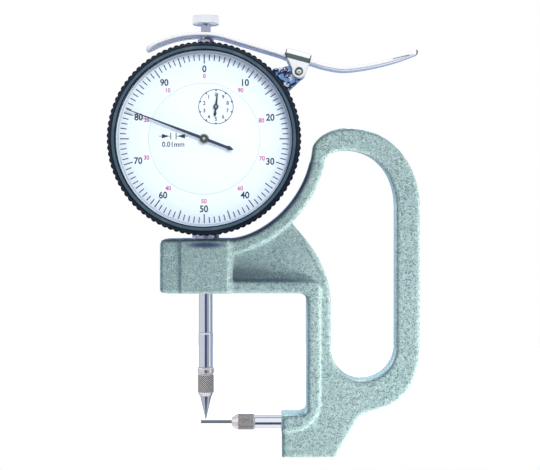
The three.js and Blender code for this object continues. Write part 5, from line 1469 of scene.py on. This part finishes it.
def make_saddle():
    """The folded saddle and its pin: a lid over the lever, and a rounded cheek on each side.

    Distance: the cheek's outline across the width, with its upper edges rounded as a fold, less the inside
    and the pin's hole.
    """
    step, outer, inner, fold, hole_radius = 0.14, 4.9, 4.1, 1.3, 1.1
    lid_bottom, lid_top = 5.05, 5.85
    axes = grid_axes((-5.4, -outer, -2.3), (2.6, outer, lid_top + 0.4), step)
    x, y, z = axes
    left, right, cheek_top = -5.3, 2.4, lid_top - 2.1
    round_end = arc((0, 0), 2.15, 180, 360, 24)
    cheek = line_of(round_end, (right, cheek_top), (right, lid_top), (left, lid_top), (left, cheek_top))
    shell = slab(outline_distance(cheek, x, z), y, outer, 0.3)
    over = np.maximum(np.abs(y) - outer + fold, 0)
    above = np.maximum(z - lid_top + fold, 0)
    shell = np.maximum(shell, np.where((over > 0) & (above > 0), np.hypot(over, above) - fold, -1))
    inside = np.maximum(np.abs(y) - inner, z - lid_bottom)
    field = carve(shell, inside, 0.25)
    field = carve(field, np.hypot(x, z) - hole_radius, 0.08)
    words = dict(body="lever_group", slot="chrome", nodes=["lever_saddle"], smooth=50)
    words.update(turn=LEVER_SLOPE, centre=(PIVOT_X, 0, PIVOT_Z))
    saddle = field_piece("folded_saddle", field, axes, step, "lever", **words)
    x, y, z = face_centres(saddle)
    x, z = x - SPINDLE_X - PIVOT_X, z - PIVOT_Z
    cosine, sine = math.cos(LEVER_SLOPE), math.sin(LEVER_SLOPE)
    along, above = x * cosine + z * sine, z * cosine - x * sine
    # Painted reflection: a dark band on the front folds of the cheeks, and near-black on the ends of the lid
    folded = (above > 2.95) & (above < 4.3) & (y < 0)
    ends = (above > 2.95) & (above < 5.4) & ((along < -5.05) | (along > 2.1))
    set_zones(saddle, ["fold", "fold_end"], np.where(ends, 2, folded))
    head = [(0, -5.25), (0.5, -5.15), (0.75, -5.22), (1.0, -5.3)]
    head += [(1.25, -5.22), (1.35, -5.05), (1.35, -4.95), (1, -4.95)]
    rear = [(radius, -height) for radius, height in head[::-1]]
    place = dict(axis="y", centre=(PIVOT_X, 0, PIVOT_Z), around=64, slot="steel")
    pin = lathe("lever_pin", rounded(head + rear, 0.08), "nose", nodes=["pivot_pin"], **place)
    # Painted reflection: a dark ring on the pin's head
    zone_ring(pin, "fold", (PIVOT_X, PIVOT_Z), 0.72, 1.2)


def make_lug():
    """The lug on the case that carries the lever: a tapering block with a flange, bored for the pin.

    Distance: two slabs joined, less the case's cylinder and the bore, with X out along the lug.
    """
    step, half, flange_half, case_radius, hole_radius = 0.2, 3.9, 5.9, 25.0, 1.1
    axes = grid_axes((22.7, -half, -flange_half), (36.2, 6.4, flange_half), step)
    x, y, z = axes
    tip = arc((PIVOT_REACH, 0), 2, -90, 45, 16)
    outline = line_of((22.7, -2.7), (28.8, -2.7), tip, (32.1, 3.4), (28.8, 5), (22.7, 5))
    field = slab(outline_distance(outline, x, z), y, half, 0.3)
    flange = box_distance(x, z, 22.7, 26.2, -flange_half, flange_half)
    back = np.maximum(slab(flange, y - 1.25, 5.15, 0.25), -y - half)
    field = join(field, back, 0.5)
    field = np.maximum(field, case_radius - np.hypot(x, z))
    field = carve(field, np.hypot(x - PIVOT_REACH, z) - hole_radius, 0.1)
    words = dict(turn=math.atan2(PIVOT_Z - DIAL_Z, PIVOT_X), centre=(0, 0, DIAL_Z))
    words.update(slot="chrome", nodes=["lever_bracket"], smooth=50)
    field_piece("lever_lug", field, axes, step, "lug", **words)


def dress_movement():
    """Finishes for the CAD nodes that stay: gears, plates, pillars, jewels, arbors and springs."""
    brass = ["drive_gear", "takeup_gear", "bridge_plate", "guide_rail", "spring_post"]
    brass += [f"bridge_pillar_{number}" for number in range(1, 4)]
    steel = ["centre_pinion", "rack_pinion", "takeup_arbor", "hairspring", "return_spring"]
    jewels = [f"jewel_{number}" for number in range(1, 6)]
    for finish, nodes in (("brass", brass), ("steel", steel), ("ruby", jewels)):
        for node in nodes:
            mesh = frame["nodes"][node].data
            mesh.materials.clear()
            mesh.materials.append(finishes[finish])


# Stage


CAMERA_X = -11.31
CAMERA_Z = 78.0
CAMERA_DISTANCE = 410
FRAME_Z = 65.4
FRAME_WIDTH = 160.4
LAMP_TARGET = (-0.005, 0, 0.06)

# Each lamp's name, place, size, energy, colour, what it lights, what shades it, and whether gloss sees it
LAMPS = (
    ("front_lamp", (0.2, -0.9, 0.46), 0.3, 1.42, (0.97, 0.99, 1.0), "casting", "casting", False),
    ("low_lamp", (0.297, -0.125, -0.2), 0.1, 3.9, (1.0, 0.87, 0.8), "casting", "casting", False),
    ("top_lamp", (0.15, 0.45, 0.8), 0.2, 8.5, (0.98, 1.0, 1.0), "casting", "all", True),
    ("side_lamp", (-0.45, 0.35, 0.2), 0.3, 3.4, (0.85, 0.93, 1.0), "casting", "all", True),
    ("dial_lamp", (0.25, -0.95, 0.45), 0.25, 6.0, (0.96, 0.99, 1.0), "others", "all", False),
    ("back_lamp", (-0.3, 0.8, 0.4), 0.8, 4.5, (0.95, 0.98, 1.0), "all", "all", False),
)


def make_world():
    """White for the camera, a room for gloss, and soft light for matt surfaces.

    Gloss sees a pale room with dark blue bands. Matt surfaces get light that is white from the front, the
    lower right and the top, and deep blue from the upper left and behind.
    """
    world = bpy.data.worlds.new("studio")
    bpy.context.scene.world = world
    world.use_nodes = True
    world.node_tree.nodes.clear()
    sky = Finish("studio", world.node_tree)
    direction = sky.node("ShaderNodeTexCoord", output=0)
    x, y, z = sky.split(direction)
    low = (0 - z).step(0.0, 0.02) * (z + 0.8).step(0.0, 0.15)
    middle = (1 - abs(x - 0.06).step(0.3, 0.4)) * (0 - y).step(0.1, 0.3) * 0.94
    beside = (1 - abs(x - 0.62).step(0.2, 0.28)) * (0 - y).step(0.3, 0.5) * 0.62
    left = (0 - x).step(0.2, 0.35) * 0.3
    edge = (1 - abs(y - 0.5).step(0.12, 0.2)) * x.step(0.3, 0.5) * 0.9
    dark = low * middle.most(beside).most(left).most(edge)
    room = sky.mix(dark, (0.97, 0.97, 1.0), (0.012, 0.03, 0.14))
    rim = y.step(0.6, 0.8)
    room = sky.mix(rim * 0.85, room, (0.12, 0.24, 0.58))
    lit = (x * 0.7 - z * 0.6 - y * 0.25).step(-0.75, 0.85).most(z.step(0.6, 0.9))
    soft = sky.mix(lit, (0.07, 0.12, 0.32), (1.0, 1.0, 0.98))
    camera = sky.node("ShaderNodeLightPath", output="Is Camera Ray")
    glossy = sky.node("ShaderNodeLightPath", output="Is Glossy Ray")
    through = sky.node("ShaderNodeLightPath", output="Is Transmission Ray")
    colour = sky.mix(glossy.most(through), soft, room)
    colour = sky.mix(camera, colour, (1, 1, 1))
    strength = camera.most(glossy).most(through) * 0.1 + 0.9
    background = sky.node("ShaderNodeBackground", {}, {"Color": colour, "Strength": strength})
    output = world.node_tree.nodes.new("ShaderNodeOutputWorld")
    world.node_tree.links.new(background.socket, output.inputs[0])


def floor_finish():
    """Pale floor that the camera sees as white but for the gauge's shadow."""
    finish = Finish("pale_floor")
    cloud = finish.noise(3, 2, 0.5)
    path = finish.node("ShaderNodeLightPath", output="Is Camera Ray")
    path = path.most(finish.node("ShaderNodeLightPath", output="Is Glossy Ray"))
    path = path.most(finish.node("ShaderNodeLightPath", output="Is Transmission Ray"))
    finish.set(base_color=finish.mix(cloud, (0.62, 0.62, 0.62), (0.6, 0.6, 0.61)), roughness=0.9)
    finish.set(emission_color=finish.mix(path, (0.0, 0.0, 0.0), (0.72, 0.72, 0.72)), emission_strength=1.0)
    finish.feed(finish.shader.inputs["Specular IOR Level"], 0.0)
    return finish.material


def add_lamp(name, place, size, energy, colour, receivers, blockers, gloss):
    """A round lamp that faces the target.

    Where receivers are given, it lights only those. Where blockers are given, only those shade it.
    """
    lamp = bpy.data.lights.new(name, "AREA")
    lamp.shape = "DISK"
    lamp.size = size
    lamp.energy = energy
    lamp.color = colour
    item = bpy.data.objects.new(name, lamp)
    bpy.context.scene.collection.objects.link(item)
    direction = np.asarray(LAMP_TARGET, float) - np.asarray(place, float)
    item.location = place
    yaw = math.atan2(direction[0], -direction[1])
    pitch = math.atan2(np.hypot(direction[0], direction[1]), -direction[2])
    item.rotation_euler = (pitch, 0, yaw + math.pi)
    item.visible_camera = False
    item.visible_glossy = gloss
    for key, pieces in (("receiver_collection", receivers), ("blocker_collection", blockers)):
        if pieces:
            group = bpy.data.collections.new(f"{name}_{key}")
            for piece in pieces:
                group.objects.link(piece)
            setattr(item.light_linking, key, group)


def make_stage():
    """Floor, world, lamps and the camera at the photograph's angle."""
    scene = bpy.context.scene
    scene.view_settings.view_transform = "Standard"
    make_world()
    angle = np.linspace(0, 2 * math.pi, 96, endpoint=False)
    floor_radius, floor_front, floor_z = 0.3, -0.012, -0.00002
    across, depth = floor_radius * np.cos(angle), np.maximum(floor_radius * np.sin(angle), floor_front)
    rim = np.stack([across, depth, 0 * angle + floor_z], -1)
    mesh = bpy.data.meshes.new("studio_floor")
    mesh.from_pydata(rim.tolist(), [], [tuple(range(96))])
    floor = bpy.data.objects.new("studio_floor", mesh)
    scene.collection.objects.link(floor)
    mesh.materials.append(floor_finish())
    floor.visible_glossy = False
    casting = [item for item in scene.collection.all_objects if item.name == "painted_casting"]
    others = [item for item in scene.collection.all_objects if item.type == "MESH" and item not in casting]
    groups = {"casting": casting, "others": others, "all": ()}
    for name, place, size, energy, colour, lit, shading, gloss in LAMPS:
        add_lamp(name, place, size, energy, colour, groups[lit], groups[shading], gloss)
    camera = bpy.data.cameras.new("camera")
    camera.sensor_fit = "HORIZONTAL"
    camera.sensor_width = 36
    camera.lens = camera.sensor_width * CAMERA_DISTANCE / FRAME_WIDTH
    camera.clip_start = 0.01
    camera.shift_y = (FRAME_Z - CAMERA_Z) / FRAME_WIDTH
    item = bpy.data.objects.new("camera", camera)
    scene.collection.objects.link(item)
    item.location = (CAMERA_X * MM, -CAMERA_DISTANCE * MM, CAMERA_Z * MM)
    item.rotation_euler = (math.pi / 2, 0, 0)
    scene.camera = item


# Operators and panel


class GAUGE_OT_stage(bpy.types.Operator):
    """Sets up the floor, light and camera"""

    bl_idname = "gauge.stage"
    bl_label = "Stage"

    def execute(self, context):
        make_stage()
        return {"FINISHED"}


class GAUGE_OT_finishes(bpy.types.Operator):
    """Makes the gauge's finishes and puts them on the movement"""

    bl_idname = "gauge.finishes"
    bl_label = "Finishes and movement"

    def execute(self, context):
        make_finishes(context.scene.gauge_colours)
        dress_movement()
        return {"FINISHED"}


class GAUGE_OT_casting(bpy.types.Operator):
    """Makes the painted casting with its ribs, pocket and finger loop"""

    bl_idname = "gauge.casting"
    bl_label = "Casting"

    def execute(self, context):
        make_casting(context.scene.gauge_sizes)
        return {"FINISHED"}


class GAUGE_OT_spindle(bpy.types.Operator):
    """Makes the spindle and all that moves up and down with it"""

    bl_idname = "gauge.spindle"
    bl_label = "Spindle group"

    def execute(self, context):
        make_spindle_group(context.scene.gauge_sizes)
        return {"FINISHED"}


class GAUGE_OT_anvil(bpy.types.Operator):
    """Makes the anvil shaft, its chuck and the measuring pin"""

    bl_idname = "gauge.anvil"
    bl_label = "Anvil"

    def execute(self, context):
        make_anvil(context.scene.gauge_sizes)
        return {"FINISHED"}


class GAUGE_OT_housing(bpy.types.Operator):
    """Makes the dial case, its back, the stem and the bush"""

    bl_idname = "gauge.housing"
    bl_label = "Housing"

    def execute(self, context):
        make_housing()
        return {"FINISHED"}


class GAUGE_OT_bezel(bpy.types.Operator):
    """Makes the scalloped bezel, the crystal and the ring that holds them"""

    bl_idname = "gauge.bezel"
    bl_label = "Bezel"

    def execute(self, context):
        make_bezel(context.scene.gauge_sizes)
        return {"FINISHED"}


class GAUGE_OT_dial(bpy.types.Operator):
    """Makes the dial with its graduations and numerals"""

    bl_idname = "gauge.dial"
    bl_label = "Dial"

    def execute(self, context):
        make_dial(context.scene.gauge_sizes)
        return {"FINISHED"}


class GAUGE_OT_pointers(bpy.types.Operator):
    """Makes the main pointer and the counter's pointer"""

    bl_idname = "gauge.pointers"
    bl_label = "Pointers"

    def execute(self, context):
        make_pointers()
        return {"FINISHED"}


class GAUGE_OT_lever(bpy.types.Operator):
    """Makes the lifting lever, its saddle, the pin and the lug"""

    bl_idname = "gauge.lever"
    bl_label = "Lifting lever"

    def execute(self, context):
        make_lever(context.scene.gauge_sizes)
        make_saddle()
        make_lug()
        return {"FINISHED"}


class GAUGE_OT_screws(bpy.types.Operator):
    """Makes the small screws"""

    bl_idname = "gauge.screws"
    bl_label = "Screws"

    def execute(self, context):
        make_screws()
        return {"FINISHED"}


STEPS = (
    "finishes",
    "casting",
    "spindle",
    "anvil",
    "housing",
    "bezel",
    "dial",
    "pointers",
    "lever",
    "screws",
    "stage",
)


class GAUGE_PT_panel(bpy.types.Panel):
    """The gauge's pieces, sizes and colours"""

    bl_idname = "GAUGE_PT_panel"
    bl_label = "Thickness gauge"
    bl_space_type = "VIEW_3D"
    bl_region_type = "UI"
    bl_category = "Gauge"

    def draw(self, context):
        column = self.layout.column()
        for step in STEPS:
            column.operator(f"gauge.{step}")
        for group in (context.scene.gauge_sizes, context.scene.gauge_colours):
            for key in group.__annotations__:
                column.prop(group, key)


CLASSES = (
    GaugeSizes,
    GaugeColours,
    GAUGE_OT_stage,
    GAUGE_OT_finishes,
    GAUGE_OT_casting,
    GAUGE_OT_spindle,
    GAUGE_OT_anvil,
    GAUGE_OT_housing,
    GAUGE_OT_bezel,
    GAUGE_OT_dial,
    GAUGE_OT_pointers,
    GAUGE_OT_lever,
    GAUGE_OT_screws,
    GAUGE_PT_panel,
)


def register():
    """Registers the classes and hangs their properties on the scene."""
    for item in CLASSES:
        bpy.utils.register_class(item)
    bpy.types.Scene.gauge_sizes = PointerProperty(type=GaugeSizes)
    bpy.types.Scene.gauge_colours = PointerProperty(type=GaugeColours)


def unregister():
    """Takes away what register added."""
    del bpy.types.Scene.gauge_colours
    del bpy.types.Scene.gauge_sizes
    for item in reversed(CLASSES):
        bpy.utils.unregister_class(item)


def main():
    """Registers the classes and runs each step in order."""
    register()
    for step in STEPS:
        getattr(bpy.ops.gauge, step)()


if __name__ == "__main__":
    main()
